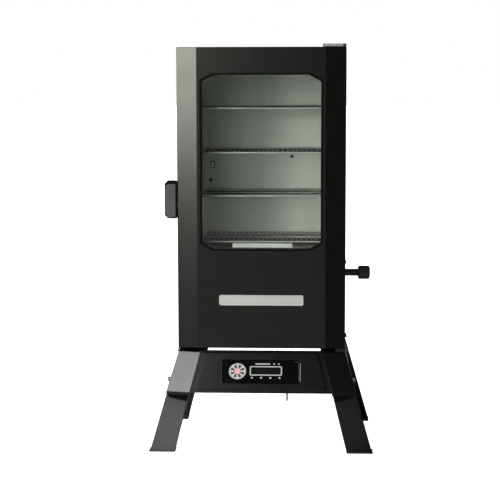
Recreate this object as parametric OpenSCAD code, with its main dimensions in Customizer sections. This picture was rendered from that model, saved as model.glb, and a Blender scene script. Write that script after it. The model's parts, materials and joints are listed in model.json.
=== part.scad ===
// Electric cabinet smoker on a splayed sheet-steel stand.
// X is to the right, Y to the back, Z up. The origin is on the floor, under the
// middle of the stand, and every size is in millimetres.

/* [Cabinet] */
// Width across the cabinet and the door
cabinet_w = 510; // [505:1:520]
// Height of the cabinet and the door
cabinet_h = 911; // [900:1:930]
// Height of the cabinet's underside above the floor
cabinet_z = 309; // [305:1:315]
// Depth of the cabinet behind the door seal
cabinet_d = 360; // [358:1:364]
// Thickness of the insulated side walls
wall_t = 55; // [53:1:56]
// Thickness of the floor and of the roof
roof_t = 40; // [36:1:44]
// Thickness of the rear wall
back_t = 11; // [11:1:14]
// Thickness of the cabinet's sheet metal
sheet = 1.2; // [1:0.1:1.5]

/* [Door] */
// Thickness of the door
door_t = 50; // [48:1:52]
// Gap that the door seal fills
seal_gap = 4; // [4:0.5:5]
// Width of the sloping strip along each side of the door
bevel_w = 61; // [55:1:62]
// How far the sloping strips fall back
bevel_d = 14; // [10:1:16]
// Thickness of the door's outer skin
skin = 1.5; // [1.2:0.1:1.8]
// Width of the window opening
window_w = 362; // [350:1:366]
// Height of the window opening
window_h = 526; // [510:1:530]
// Height of the window's middle above the floor
window_z = 875.7; // [870:0.1:880]
// Width of each cut corner of the window
corner_w = 38; // [30:1:42]
// Height of each cut corner of the window
corner_h = 20; // [16:1:24]
// Thickness of each glass pane
glass_t = 4; // [3:0.5:5]

/* [Racks] */
// Width of a cooking rack
rack_w = 386; // [380:1:388]
// Heights of the cooking racks, from the top down
rack_levels = [1036, 900.5, 767.5, 626.5];
// Radius of a rack's frame rods
rack_rod_r = 2.5; // [2:0.1:3]
// Radius of a rack's thin wires
rack_wire_r = 1.5; // [1:0.1:2]
// Number of thin wires in a rack
rack_wires = 25; // [11:2:25]

/* [Stand] */
// Depth of the stand
stand_d = 494; // [490:2:500]
// Width across the feet
foot_span = 679; // [660:1:700]
// Width across the stand at its top
top_span = 510; // [505:1:520]
// Width of a leg at its top
leg_top_w = 67.5; // [60:0.5:70]
// Width of a leg at its foot
leg_foot_w = 79; // [70:1:85]
// Height of the top edge of the sloping panel
slope_top_z = 295; // [290:1:298]
// Height of the bottom edge of the sloping panel
slope_bottom_z = 185; // [180:1:190]
// How far the sloping panel comes forward
slope_run = 77; // [70:1:80]
// How far the outer edge of a front bracket falls back
bracket_turn = 15; // [8:1:16]
// How far a front leg comes forward from its knee to its foot
leg_lean = 16; // [10:1:18]
// Thickness of the stand's sheet steel
plate = 2.5; // [2:0.5:3]

/* [Controls] */
// Width of the controller's face
fascia_w = 240; // [230:1:250]
// Height of the controller's face along the slope
fascia_h = 78; // [74:1:82]
// Radius of the round dial
dial_r = 28; // [26:0.5:30]
// Radius of the push button in the dial
power_r = 10; // [8:0.5:12]
// Travel of the push button
power_travel = 1.5; // [1:0.1:2]

/* [Hidden] */

$fn = 48;
eps = 0.01;
far = 600;

// Main planes
half_w = cabinet_w / 2;
door_front = -stand_d / 2 + 70;
door_back = door_front + door_t;
cab_front = door_back + seal_gap;
cab_back = cab_front + cabinet_d;
cab_top = cabinet_z + cabinet_h;
liner_t = 1;
liner_w = half_w - wall_t;
liner_z0 = cabinet_z + roof_t;
liner_z1 = cab_top - roof_t;
liner_y1 = cab_back - back_t;
chamber_w = liner_w - liner_t;
slab_gap = 1;

// Door hinge and latch
hinge_x = half_w - 12;
hinge_y = door_front + 25;
pin_r = 4;
pin_gap = 0.05;
bush_r = 8;
bush_h = 20;
bracket_t = 3;
latch_x = -half_w - 20;
latch_y = door_back + 28;
latch_z0 = 705;
latch_z1 = 821;
latch_face_y = door_front + 8;
latch_out_x = -half_w - 37.5;
latch_in_x = -half_w - 6;
latch_t = 3;
latch_pin_r = 3;

// Racks
rack_front = door_front + 89.5;
rack_back = liner_y1 - 5;
ledge_t = 1.5;

// Chip loader
loader_y = 48;
loader_z = 515;
loader_r = 26;
loader_tube_t = 1.5;
scoop_x0 = 92;
scoop_x1 = 234;

// Lower shelf and what hangs in it
shelf_z = 428;
shelf_t = 1.5;
bowl_x = -75;
bowl_y = 55;
bowl_r = 98;
tray_x0 = 62;
tray_x1 = 182;
tray_y0 = -10;
tray_y1 = 106;

// Stand
front_y = -stand_d / 2;
slope_top_y = front_y + 2 + slope_run;
slope_angle = atan2(slope_top_z - slope_bottom_z, slope_run);
lean_out = (foot_span - top_span) / 2 / slope_top_z;
lean_in = lean_out - (leg_foot_w - leg_top_w) / slope_top_z;
lean_angle = atan(lean_out);
foot_t = 4;
lip_h = 8;
knee_z = slope_bottom_z - 2;
rail_z0 = 265;
rail_front = cab_front + 38;
leg_back_y = cab_back - plate;
bolt_r = 4;
bolt_hole_r = 4.2;
bolts = [[-190, 214], [-70, 284], [-30, 284], [205, 284]];

// Sloping panel: its own frame has the origin at the middle of the top edge,
// Y up the slope and Z out of the panel.
recess = 6;
panel_t = 2;
slope_len = norm([slope_run, slope_top_z - slope_bottom_z]);
fascia_v = -65.5;
peg_r = 2.7;
peg_h = 26;
dial_at = [-71, -64];
display_at = [15, -62];
display_w = 98;
display_h = 31;

// Openings through the floor, the rear wall and the roof
drain_y = 150;
drain_r = 6;
cord_x = 150;
cord_z = 360;
vent_t = 1.5;
vent_pin_r = 3;
vent_x = 0;
vent_y = 125;
vent_r = 28;
vent_hole_r = 9;
vent_pitch_r = 17;

function unit(v) = v / norm(v);

// Outer and inner edge of a leg at a height
function leg_out(z) = top_span / 2 + lean_out * (slope_top_z - z);
function leg_in(z) = top_span / 2 - leg_top_w + lean_in * (slope_top_z - z);
function slope_y(z) = slope_top_y - slope_run * (slope_top_z - z) / (slope_top_z - slope_bottom_z);

// Front of a front leg at a height
function leg_front_y(z) = front_y + 6 + leg_lean * (z - foot_t) / (knee_z - foot_t);

// Corners of a rectangle with its corners cut off
function cut_rect(w, h, cx, cy) = [
    [-w / 2 + cx, -h / 2], [w / 2 - cx, -h / 2], [w / 2, -h / 2 + cy], [w / 2, h / 2 - cy],
    [w / 2 - cx, h / 2], [-w / 2 + cx, h / 2], [-w / 2, h / 2 - cy], [-w / 2, -h / 2 + cy]
];

// Box between two corners
module box(lo, hi) {
    translate(lo) cube(hi - lo);
}

// Prism whose outline lies in the XZ plane
module xz_prism(points, y0, y1) {
    translate([0, y1, 0]) rotate([90, 0, 0]) linear_extrude(y1 - y0) polygon(points);
}

// Prism whose outline lies in the YZ plane
module yz_prism(points, x0, x1) {
    translate([x0, 0, 0]) rotate([90, 0, 90]) linear_extrude(x1 - x0) polygon(points);
}

module rod_x(x0, x1, y, z, r) {
    translate([x0, y, z]) rotate([0, 90, 0]) cylinder(r = r, h = x1 - x0);
}

module rod_y(x, y0, y1, z, r) {
    translate([x, y0, z]) rotate([-90, 0, 0]) cylinder(r = r, h = y1 - y0);
}

// Plate in the XY plane with round corners
module round_plate(w, h, t, r) {
    translate([-w / 2 + r, -h / 2, 0]) cube([w - 2 * r, h, t]);
    translate([-w / 2, -h / 2 + r, 0]) cube([w, h - 2 * r, t]);
    for (sx = [-1, 1], sy = [-1, 1])
        translate([sx * (w / 2 - r), sy * (h / 2 - r), 0]) cylinder(r = r, h = t);
}

module ring(r_out, r_in, h) {
    difference() {
        cylinder(r = r_out, h = h);
        translate([0, 0, -1]) cylinder(r = r_in, h = h + 2);
    }
}

// Children drawn once for each side, side 1 being the right
module on_side(side) {
    if (side > 0) children();
    else mirror([1, 0, 0]) children();
}

// ---------------------------------------------------------------- cabinet

module side_sheet() {
    box([half_w - sheet, cab_front + sheet, cabinet_z], [half_w, cab_back - sheet, cab_top]);
}

module side_panel_left() {
    color("#1b1b1d") on_side(-1) side_sheet();
}

module side_panel_right() {
    color("#1b1b1d") difference() {
        side_sheet();
        rod_x(half_w - 5, half_w + 5, loader_y, loader_z, loader_r + loader_tube_t);
    }
}

module level_sheet(z) {
    box([-half_w + sheet, cab_front + sheet, z], [half_w - sheet, cab_back - sheet, z + sheet]);
}

// Roof sheet with the welded vent collar, whose grille has the damper's pin
module top_panel() {
    color("#1b1b1d") {
        difference() {
            level_sheet(cab_top - sheet);
            vent_post(cab_top - 5, cab_top + 5, vent_r);
        }
        translate([vent_x, vent_y, liner_z1 - liner_t])
            ring(vent_r, vent_r - 1, cab_top - liner_z1 + liner_t);
        translate([vent_x, vent_y, cab_top]) difference() {
            cylinder(r = vent_r + 8, h = vent_t);
            vent_holes();
        }
        vent_post(cab_top + vent_t, cab_top + 5, vent_pin_r);
    }
}

module vent_post(z0, z1, r) {
    translate([vent_x, vent_y, z0]) cylinder(r = r, h = z1 - z0);
}

module vent_holes() {
    for (a = [0 : 90 : 270])
        rotate([0, 0, a]) translate([vent_pitch_r, 0, -1]) cylinder(r = vent_hole_r, h = 10);
}

// Floor sheet with its welded drain tube and the rails of the grease tray
module bottom_panel() {
    color("#161617") {
        difference() {
            level_sheet(cabinet_z);
            translate([0, drain_y, cabinet_z - 1]) cylinder(r = drain_r, h = 5);
        }
        translate([0, drain_y, cabinet_z - 8]) ring(drain_r, drain_r - 1, roof_t + 8);
        for (side = [-1, 1]) on_side(side) xz_prism([
            [60, cabinet_z], [72, cabinet_z], [72, 283], [52, 283], [52, 284.5], [70.5, 284.5],
            [70.5, cabinet_z - 1.5], [60, cabinet_z - 1.5]
        ], 90, cab_back - 5);
    }
}

module back_panel() {
    color("#1b1b1d") difference() {
        box([-half_w, cab_back - sheet, cabinet_z], [half_w, cab_back, cab_top]);
        rod_y(cord_x, cab_back - 5, cab_back + 5, cord_z, 7);
    }
}

module front_frame() {
    color("#1b1b1d") difference() {
        box([-half_w, cab_front, cabinet_z], [half_w, cab_front + sheet, cab_top]);
        box([-liner_w, cab_front - 1, liner_z0], [liner_w, cab_front + 5, liner_z1]);
    }
}

module liner_wall() {
    box([chamber_w, cab_front + sheet, liner_z0], [liner_w, liner_y1, liner_z1]);
}

module liner_left() {
    color("#9aa09a") on_side(-1) liner_wall();
}

module liner_right() {
    color("#9aa09a") difference() {
        liner_wall();
        rod_x(chamber_w - 5, liner_w + 5, loader_y, loader_z, loader_r + loader_tube_t);
    }
}

module liner_top() {
    color("#9aa09a") difference() {
        box([-chamber_w, cab_front + sheet, liner_z1 - liner_t], [chamber_w, liner_y1, liner_z1]);
        vent_post(liner_z1 - 5, liner_z1 + 5, vent_r);
    }
}

module liner_floor() {
    color("#9aa09a") difference() {
        box([-chamber_w, cab_front + sheet, liner_z0], [chamber_w, liner_y1, liner_z0 + liner_t]);
        translate([0, drain_y, liner_z0 - 1]) cylinder(r = drain_r, h = 5);
    }
}

module liner_back() {
    color("#9aa09a") box([-liner_w, liner_y1, liner_z0], [liner_w, liner_y1 + liner_t, liner_z1]);
}

module cabinet_insulation() {
    y0 = cab_front + sheet + slab_gap;
    y1 = liner_y1;
    x0 = liner_w + slab_gap;
    x1 = half_w - sheet - slab_gap;
    color("#d8c27a") {
        on_side(-1) box([x0, y0, liner_z0], [x1, y1, liner_z1]);
        difference() {
            box([x0, y0, liner_z0], [x1, y1, liner_z1]);
            rod_x(x0 - 1, x1 + 1, loader_y, loader_z, loader_r + loader_tube_t + 1);
        }
        difference() {
            box([-x1, y0, cabinet_z + sheet + slab_gap], [x1, y1, liner_z0 - slab_gap]);
            translate([0, drain_y, cabinet_z]) cylinder(r = drain_r + 2, h = roof_t);
        }
        difference() {
            box([-x1, y0, liner_z1 + slab_gap], [x1, y1, cab_top - sheet - slab_gap]);
            vent_post(liner_z1, cab_top, vent_r + 1);
        }
        difference() {
            box([-x1, y1 + liner_t + slab_gap, liner_z0], [x1, cab_back - sheet - slab_gap, liner_z1]);
            rod_y(cord_x, y1, cab_back, cord_z, 9);
        }
    }
}

// ---------------------------------------------------------------- inside the cabinet

ledge_levels = concat([for (z = rack_levels) z - rack_rod_r - 0.6], [589.4, shelf_z - 0.1]);

module ladder() {
    x1 = chamber_w;
    for (y = [-60, 178])
        box([x1 - 4, y, 400], [x1, y + 16, rack_levels[0]]);
    for (z = ledge_levels)
        box([x1 - 14, rack_front - 1, z - ledge_t], [x1 - 1, rack_back, z]);
}

module rack_ladder_left() {
    color("#b9bdb8") on_side(-1) ladder();
}

module rack_ladder_right() {
    color("#b9bdb8") ladder();
}

module rack(z) {
    x = rack_w / 2 - rack_rod_r;
    y0 = rack_front + rack_rod_r;
    y1 = rack_back - rack_rod_r;
    wire_z = z + rack_rod_r + rack_wire_r - 0.6;
    step = (2 * x - 20) / (rack_wires - 1);
    color("#d9dbdc") {
        for (y = [y0, y0 + (y1 - y0) / 3, y0 + 2 * (y1 - y0) / 3, y1])
            rod_x(-x, x, y, z, rack_rod_r);
        for (sx = [-x, x]) {
            rod_y(sx, y0, y1, z, rack_rod_r);
            for (y = [y0, y1]) translate([sx, y, z]) sphere(r = rack_rod_r);
        }
        for (i = [0 : rack_wires - 1])
            rod_y(-x + 10 + i * step, y0 - 1, y1 + 1, wire_z, rack_wire_r);
    }
}

module rack_1() { rack(rack_levels[0]); }
module rack_2() { rack(rack_levels[1]); }
module rack_3() { rack(rack_levels[2]); }
module rack_4() { rack(rack_levels[3]); }

// Shelf that carries the water bowl and the chip tray by their rims
module lower_shelf() {
    w = chamber_w - 7;
    color("#a5aaa6") difference() {
        box([-w, rack_front + 2, shelf_z], [w, rack_back - 2, shelf_z + shelf_t]);
        translate([bowl_x, bowl_y, shelf_z - 1]) cylinder(r = bowl_r + 2, h = 10, $fn = 96);
        box([tray_x0 - 1, tray_y0 - 1, shelf_z - 1], [tray_x1 + 1, tray_y1 + 1, shelf_z + 10]);
    }
}

module heating_element() {
    r = 4;
    x0 = 92;
    x1 = 152;
    z = 371;
    color("#3a3634") {
        for (x = [x0, x1]) rod_y(x, 10, liner_y1 - 2, z, r);
        translate([(x0 + x1) / 2, 10, z]) rotate([0, 0, 180])
            rotate_extrude(angle = 180) translate([(x1 - x0) / 2, 0]) circle(r = r);
        box([x0 - 20, liner_y1 - 2, z - 14], [x1 + 20, liner_y1, z + 20]);
    }
}

module chip_tray() {
    z0 = 386;
    z1 = shelf_z + shelf_t;
    t = 1;
    rim = 8;
    color("#8f9490") {
        difference() {
            box([tray_x0, tray_y0, z0], [tray_x1, tray_y1, z1 + t]);
            box([tray_x0 + t, tray_y0 + t, z0 + t], [tray_x1 - t, tray_y1 - t, z1 + 5]);
        }
        difference() {
            box([tray_x0 - rim, tray_y0 - rim, z1], [tray_x1 + rim, tray_y1 + rim, z1 + t]);
            box([tray_x0 + t, tray_y0 + t, z1 - 1], [tray_x1 - t, tray_y1 - t, z1 + 5]);
        }
    }
}

module water_bowl() {
    rim_z = shelf_z + shelf_t;
    depth = 60;
    t = 1;
    color("#a9adaa") translate([bowl_x, bowl_y, rim_z - depth]) rotate_extrude($fn = 96)
        polygon([
            [0, 0], [bowl_r - 22, 0], [bowl_r, depth], [bowl_r + 8, depth],
            [bowl_r + 8, depth + t], [bowl_r - t, depth + t], [bowl_r - 22 - t, t], [0, t]
        ]);
}

// Shallow pan under the racks, with a bent-up pull tab at its front
module drip_pan() {
    z0 = 590;
    z1 = 604;
    x = 190;
    y0 = rack_front + 2;
    y1 = rack_back - 4;
    t = 1;
    color("#c4c8c6") {
        difference() {
            box([-x, y0, z0], [x, y1, z1]);
            box([-x + t, y0 + t, z0 + t], [x - t, y1 - t, z1 + 5]);
            translate([0, 60, z0 - 1]) cylinder(r = 9, h = 5);
        }
        box([-92.5, y0 - 1.2, z0 + 4], [92.5, y0, 621.5]);
    }
}

module wall_sensors() {
    color("#cfd2d2") {
        box([-183, liner_y1 - 10, 836], [-168, liner_y1, 858]);
        rod_y(-175.5, liner_y1 - 46, liner_y1 - 10, 848, 3);
        rod_y(83, liner_y1 - 4, liner_y1, 873, 5);
    }
    color("#222222") rod_y(-182, liner_y1 - 6, liner_y1, 798, 5);
}

// Shutter that turns on the vent's pin, closed at rest
module vent_damper() {
    color("#2c2c2f") translate([vent_x, vent_y, cab_top + vent_t + 0.4]) {
        difference() {
            cylinder(r = vent_r + 7, h = vent_t);
            rotate([0, 0, 45]) vent_holes();
            translate([0, 0, -1]) cylinder(r = vent_pin_r + pin_gap, h = 5);
        }
        translate([-1.5, vent_r - 6, vent_t]) cube([3, 12, 3]);
    }
}

module cord_gland() {
    color("#202020") difference() {
        union() {
            rod_y(cord_x, liner_y1 + 3, cab_back, cord_z, 7);
            rod_y(cord_x, cab_back, cab_back + 5, cord_z, 12);
        }
        rod_y(cord_x, liner_y1, cab_back + 10, cord_z, 4);
    }
}

// Tray that hangs in the rails by its rims and pulls out to the back
module grease_tray() {
    z0 = 262;
    z1 = 286.2;
    y0 = 95;
    y1 = cab_back - 8;
    t = 1;
    color("#b3b6b4") {
        difference() {
            union() {
                box([-51, y0, z0], [51, y1, z1]);
                box([-69.5, y0, z1 - 1.2], [69.5, y1, z1]);
            }
            box([-51 + t, y0 + t, z0 + t], [51 - t, y1 - t, z1 + 5]);
        }
        box([-25, y1, z0 + 4], [25, y1 + 2, z1]);
    }
}

module cabinet_screws() {
    head_r = 4;
    color("#3b3b3e") {
        for (sx = [-1, 1], z = [330 : 120 : 1200])
            rod_y(sx * (half_w - 12), cab_back, cab_back + 2, z, head_r);
        for (x = [-150, -50, 50, 150], z = [324, 1205])
            rod_y(x, cab_back, cab_back + 2, z, head_r);
        for (x = [200, 225])
            translate([x, cab_front + 20, cab_top + 4]) cylinder(r = head_r, h = 2);
    }
}

// ---------------------------------------------------------------- chip loader

module loader_housing() {
    r = loader_r;
    t = loader_tube_t;
    color("#b0b4b3") translate([chamber_w - 1, loader_y, loader_z]) rotate([0, 90, 0])
        ring(r + t, r, half_w - chamber_w + 1);
    color("#1f1f21") {
        translate([half_w, loader_y, loader_z]) rotate([0, 90, 0]) ring(40, r, 2);
        box([half_w + 2, loader_y - 7, loader_z + 28], [half_w + 6, loader_y + 7, loader_z + 38]);
    }
}

module loader_collar() {
    color("#4a4a4d") translate([scoop_x1 + 2, loader_y, loader_z]) rotate([0, 90, 0])
        ring(loader_r - 0.4, 6.06, 20);
}

// Half-round scoop on its spindle, with the stem and knob outside
module chip_scoop() {
    r = loader_r - 1;
    t = 1.2;
    color("#9da19f") {
        translate([scoop_x0, loader_y, loader_z]) rotate([0, 90, 0]) difference() {
            ring(r, r - t, scoop_x1 - scoop_x0);
            translate([-2 * r, -r - 1, -1]) cube([2 * r, 2 * r + 2, scoop_x1 - scoop_x0 + 2]);
        }
        for (x = [scoop_x0, scoop_x1 - t]) intersection() {
            rod_x(x, x + t, loader_y, loader_z, r);
            box([x, loader_y - r, loader_z - r], [x + t, loader_y + r, loader_z]);
        }
        rod_x(scoop_x1 - t, scoop_x1, loader_y, loader_z, 10);
        rod_x(scoop_x1 - t, half_w + 3, loader_y, loader_z, 6);
    }
    color("#1c1c1e") {
        rod_x(half_w + 2.5, half_w + 45, loader_y, loader_z, 9);
        translate([half_w + 44, loader_y, loader_z]) rotate([0, 90, 0]) rotate_extrude()
            polygon([
                [0, 0], [18, 0], [20.5, 2.5], [20.5, 27], [17, 31.5], [0, 33]
            ]);
    }
}

// ---------------------------------------------------------------- door

function door_section(inset) = [
    [-half_w + inset, door_back], [-half_w + inset, door_front + bevel_d + inset],
    [-half_w + bevel_w, door_front + inset], [half_w - bevel_w, door_front + inset],
    [half_w - inset, door_front + bevel_d + inset], [half_w - inset, door_back]
];

module door_prism(inset, z0, z1) {
    translate([0, 0, z0]) linear_extrude(z1 - z0) polygon(door_section(inset));
}

module window_prism(grow, y0, y1) {
    translate([0, 0, window_z]) xz_prism(
        cut_rect(window_w + 2 * grow, window_h + 2 * grow, corner_w, corner_h), y0, y1);
}

module door_shell() {
    z0 = cabinet_z;
    z1 = cab_top;
    color("#1d1d1f") {
        difference() {
            door_prism(0, z0, z1);
            difference() {
                door_prism(skin, z0 + skin, z1 - skin);
                box([-half_w, door_back - eps, z0], [half_w, door_back + 1, z1]);
            }
            box([-half_w + skin, door_back - 1, z0 + skin], [half_w - skin, door_back + 1, z1 - skin]);
            window_prism(0, door_front - 5, door_front + 5);
            translate([hinge_x, hinge_y, z0 - 1]) cylinder(r = pin_r + 1, h = cabinet_h + 2);
        }
        box([-half_w - 5, door_front + 17, 739], [-half_w, door_front + 20, 750]);
    }
}

module door_liner() {
    color("#2b2b2d") difference() {
        box([-half_w + skin, door_back - skin, cabinet_z + skin], [half_w - skin, door_back, cab_top - skin]);
        window_prism(0, door_back - 5, door_back + 5);
    }
}

module window_outer() {
    color("#2c3432", 0.35) window_prism(8, door_front + skin, door_front + skin + glass_t);
}

module window_inner() {
    color("#2c3432", 0.35) window_prism(8, door_back - skin - glass_t, door_back - skin);
}

module window_trim() {
    color("#111111") difference() {
        window_prism(8, door_front + skin + glass_t, door_back - skin - glass_t);
        window_prism(1, door_front, door_back);
    }
}

module door_insulation() {
    room = 34;
    color("#d8c27a") difference() {
        intersection() {
            door_prism(4, cabinet_z + 4, cab_top - 4);
            box([-half_w, door_front, cabinet_z], [half_w, door_back - skin - 1, cab_top]);
        }
        window_prism(10, door_front, door_back);
        for (z = [cabinet_z, cab_top - room])
            box([hinge_x - 14, door_front, z], [half_w, door_back, z + room]);
    }
}

module door_gasket() {
    color("#38383a") difference() {
        box([-235, door_back, cabinet_z + 12], [235, door_back + seal_gap - 0.4, cab_top - 12]);
        box([-212, door_back - 1, cabinet_z + 30], [212, door_back + seal_gap, cab_top - 30]);
    }
}

module hinge_bushes() {
    color("#a8884a") for (z = [cabinet_z + skin, cab_top - skin - bush_h])
        translate([hinge_x, hinge_y, z]) ring(bush_r, pin_r + pin_gap, bush_h);
}

// Blank name plate
module badge() {
    color("#b8babb") translate([0, door_front, 457]) rotate([90, 0, 0])
        round_plate(256, 32, 1.4, 6);
}

// Brackets on the roof and the floor, each with its welded pin
module hinge_brackets() {
    y0 = hinge_y - 11;
    y1 = cab_front + 36;
    x1 = half_w - 1;
    color("#9b9c9e") {
        difference() {
            box([184, y0, cab_top], [x1, y1, cab_top + 1 + bracket_t]);
            box([183, y0 - 1, cab_top - 1], [x1 + 1, cab_front + 2, cab_top + 1]);
        }
        box([184, y0 - 3, cab_top + 1], [x1, y0, cab_top + 9.5]);
        translate([hinge_x, hinge_y, cab_top - bush_h]) cylinder(r = pin_r, h = bush_h + 3);
    }
    color("#2a2a2c") {
        difference() {
            box([226, y0, cabinet_z - 1 - bracket_t], [x1, y1, cabinet_z]);
            box([225, y0 - 1, cabinet_z - 1], [x1 + 1, cab_front + 2, cabinet_z + 1]);
        }
        box([226, y0 - 3, cabinet_z - 12], [x1, y0, cabinet_z - 1]);
        translate([hinge_x, hinge_y, cabinet_z - 3]) cylinder(r = pin_r, h = bush_h + 3);
    }
}

// ---------------------------------------------------------------- latch

module latch_mount() {
    z0 = latch_z0 + 7;
    z1 = latch_z1 - 7;
    lug = 8;
    color("#3a3a3c") {
        box([-half_w - 3, latch_y - 16, z0], [-half_w, latch_y + 19, z1]);
        for (z = [z0, z1 - lug]) {
            box([latch_x, latch_y - 7, z], [-half_w - 3, latch_y + 7, z + lug]);
            translate([latch_x, latch_y, z]) cylinder(r = 7, h = lug);
        }
    }
    color("#b5b7b8") translate([latch_x, latch_y, z0 - 3])
        cylinder(r = latch_pin_r, h = z1 - z0 + 6);
}

module latch_lever() {
    z0 = latch_z0 + 16;
    z1 = latch_z1 - 16;
    cut = 10;
    color("#66686b") {
        xz_prism([
            [latch_in_x, latch_z0], [latch_in_x, latch_z1], [latch_out_x + cut, latch_z1],
            [latch_out_x, latch_z1 - cut], [latch_out_x, latch_z0 + cut], [latch_out_x + cut, latch_z0]
        ], latch_face_y, latch_face_y + latch_t);
        box([latch_out_x, latch_face_y, latch_z0 + cut],
            [latch_out_x + latch_t, latch_y + 4, latch_z1 - cut]);
        difference() {
            union() {
                translate([latch_x, latch_y, z0]) cylinder(r = 6, h = z1 - z0);
                box([latch_out_x + 1, latch_y - 3, z0], [latch_x, latch_y + 3, z1]);
            }
            translate([latch_x, latch_y, z0 - 1]) cylinder(r = latch_pin_r + pin_gap, h = z1 - z0 + 2);
        }
    }
}

// ---------------------------------------------------------------- stand

// Holes for the stand's bolts, square to the leaning side plates of the right side
module side_bolt_holes() {
    for (b = bolts) translate([leg_out(b[1]), b[0], b[1]]) rotate([0, 90 - lean_angle, 0])
        translate([0, 0, -20]) cylinder(r = bolt_hole_r, h = 40);
}

module base_rail() {
    inner = 180;
    web = plate + 0.05;
    color("#1a1a1b") difference() {
        xz_prism([
            [inner, rail_z0], [leg_out(rail_z0) - web, rail_z0], [leg_out(cabinet_z) - web, cabinet_z],
            [inner, cabinet_z], [inner, cabinet_z - plate],
            [leg_out(cabinet_z - plate) - web - plate, cabinet_z - plate],
            [leg_out(rail_z0 + plate) - web - plate, rail_z0 + plate], [inner, rail_z0 + plate]
        ], rail_front, leg_back_y);
        side_bolt_holes();
    }
}

module base_rail_left() { on_side(-1) base_rail(); }
module base_rail_right() { on_side(1) base_rail(); }

// Front bracket: sloping face turned outwards like the door's strips, leaning
// side plate and a lip along the bottom edge
module front_bracket() {
    top_in = [leg_in(slope_top_z), slope_top_y, slope_top_z];
    rise = unit(top_in - [leg_in(slope_bottom_z), slope_y(slope_bottom_z), slope_bottom_z]);
    across = [leg_top_w, bracket_turn, 0];
    out = unit(across - rise * (across * rise));
    normal = cross(out, rise);
    y_low = slope_y(slope_bottom_z);
    color("#202022") difference() {
        union() {
            intersection() {
                xz_prism([
                    [leg_in(slope_top_z), slope_top_z], [leg_out(slope_top_z), slope_top_z],
                    [leg_out(slope_bottom_z), slope_bottom_z], [leg_in(slope_bottom_z), slope_bottom_z]
                ], -far, far);
                multmatrix([
                    [out[0], rise[0], normal[0], top_in[0]], [out[1], rise[1], normal[1], top_in[1]],
                    [out[2], rise[2], normal[2], top_in[2]], [0, 0, 0, 1]
                ]) box([-far, -far, -plate], [far, far, 0]);
            }
            intersection() {
                xz_prism([
                    [leg_out(slope_top_z) - plate, slope_top_z], [leg_out(slope_top_z), slope_top_z],
                    [leg_out(slope_bottom_z), slope_bottom_z],
                    [leg_out(slope_bottom_z) - plate, slope_bottom_z]
                ], -far, far);
                yz_prism([
                    [slope_top_y + bracket_turn + 1, slope_top_z], [y_low + bracket_turn + 1, slope_bottom_z],
                    [-182, slope_bottom_z], [-120, rail_z0 - 20], [-10, rail_z0], [-10, slope_top_z]
                ], 0, far);
            }
            translate([0, 0, slope_bottom_z - lip_h]) linear_extrude(lip_h + 1) polygon([
                [leg_in(slope_bottom_z), front_y], [leg_out(slope_bottom_z), front_y + bracket_turn],
                [leg_out(slope_bottom_z), front_y + bracket_turn + plate],
                [leg_in(slope_bottom_z), front_y + plate]
            ]);
        }
        side_bolt_holes();
    }
}

module front_bracket_left() { on_side(-1) front_bracket(); }
module front_bracket_right() { on_side(1) front_bracket(); }

// Leg outline between two heights, set in from the outer edge
module leg_strip(z0, z1, x_out, w, y0, y1) {
    xz_prism([
        [leg_out(z0) - x_out - w, z0], [leg_out(z0) - x_out, z0],
        [leg_out(z1) - x_out, z1], [leg_out(z1) - x_out - w, z1]
    ], y0, y1);
}

module leg_face(z0, z1, x_out, y0, y1) {
    xz_prism([
        [leg_in(z0), z0], [leg_out(z0) - x_out, z0], [leg_out(z1) - x_out, z1], [leg_in(z1), z1]
    ], y0, y1);
}

// Layer of a front leg that starts at its leaning face and has a depth
module leg_layer(depth) {
    y0 = leg_front_y(foot_t);
    y1 = leg_front_y(knee_z);
    intersection() {
        children();
        yz_prism([[y0, foot_t], [y0 + depth, foot_t], [y1 + depth, knee_z], [y1, knee_z]], 0, far);
    }
}

module leg_front() {
    top = 238;
    inset = plate + 0.05;
    color("#222224") difference() {
        union() {
            leg_layer(plate) leg_face(foot_t, knee_z, inset, -far, far);
            leg_layer(18) xz_prism([
                [leg_in(foot_t), foot_t], [leg_in(foot_t) + plate, foot_t],
                [leg_in(knee_z) + plate, knee_z], [leg_in(knee_z), knee_z]
            ], -far, far);
            intersection() {
                leg_strip(foot_t, top, inset, plate, -far, far);
                yz_prism([
                    [leg_front_y(foot_t), foot_t], [leg_front_y(knee_z), knee_z],
                    [slope_y(top) + bracket_turn + 6, top], [-170, top], [leg_front_y(foot_t) + 45, foot_t]
                ], 0, far);
            }
        }
        side_bolt_holes();
    }
}

module leg_front_left() { on_side(-1) leg_front(); }
module leg_front_right() { on_side(1) leg_front(); }

module leg_rear() {
    top = cabinet_z - 6;
    color("#1d1d1f") difference() {
        union() {
            leg_face(foot_t, top, 0, leg_back_y, cab_back);
            leg_strip(foot_t, top, 0, plate, cab_back - 45, cab_back);
            xz_prism([
                [leg_in(foot_t), foot_t], [leg_in(foot_t) + plate, foot_t],
                [leg_in(230) + plate, 230], [leg_in(230), 230]
            ], cab_back - 18, cab_back);
        }
        side_bolt_holes();
    }
}

module leg_rear_left() { on_side(-1) leg_rear(); }
module leg_rear_right() { on_side(1) leg_rear(); }

module foot_pads() {
    color("#141414") for (side = [-1, 1]) on_side(side) {
        box([leg_in(0) - 1, front_y + 4, 0], [foot_span / 2, front_y + 54, foot_t]);
        box([leg_in(0) - 1, -front_y - 58, 0], [foot_span / 2, -front_y, foot_t]);
    }
}

module leg_bolts() {
    color("#48494b") for (side = [-1, 1]) on_side(side)
        for (b = bolts) translate([leg_out(b[1]), b[0], b[1]]) rotate([0, 90 - lean_angle, 0]) {
            cylinder(r = 9, h = 1.5);
            translate([0, 0, 1.5]) cylinder(r = 7.5, h = 6, $fn = 6);
            translate([0, 0, -12]) cylinder(r = bolt_r, h = 20);
            translate([0, 0, -12]) cylinder(r = 7, h = 6, $fn = 6);
        }
}

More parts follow.
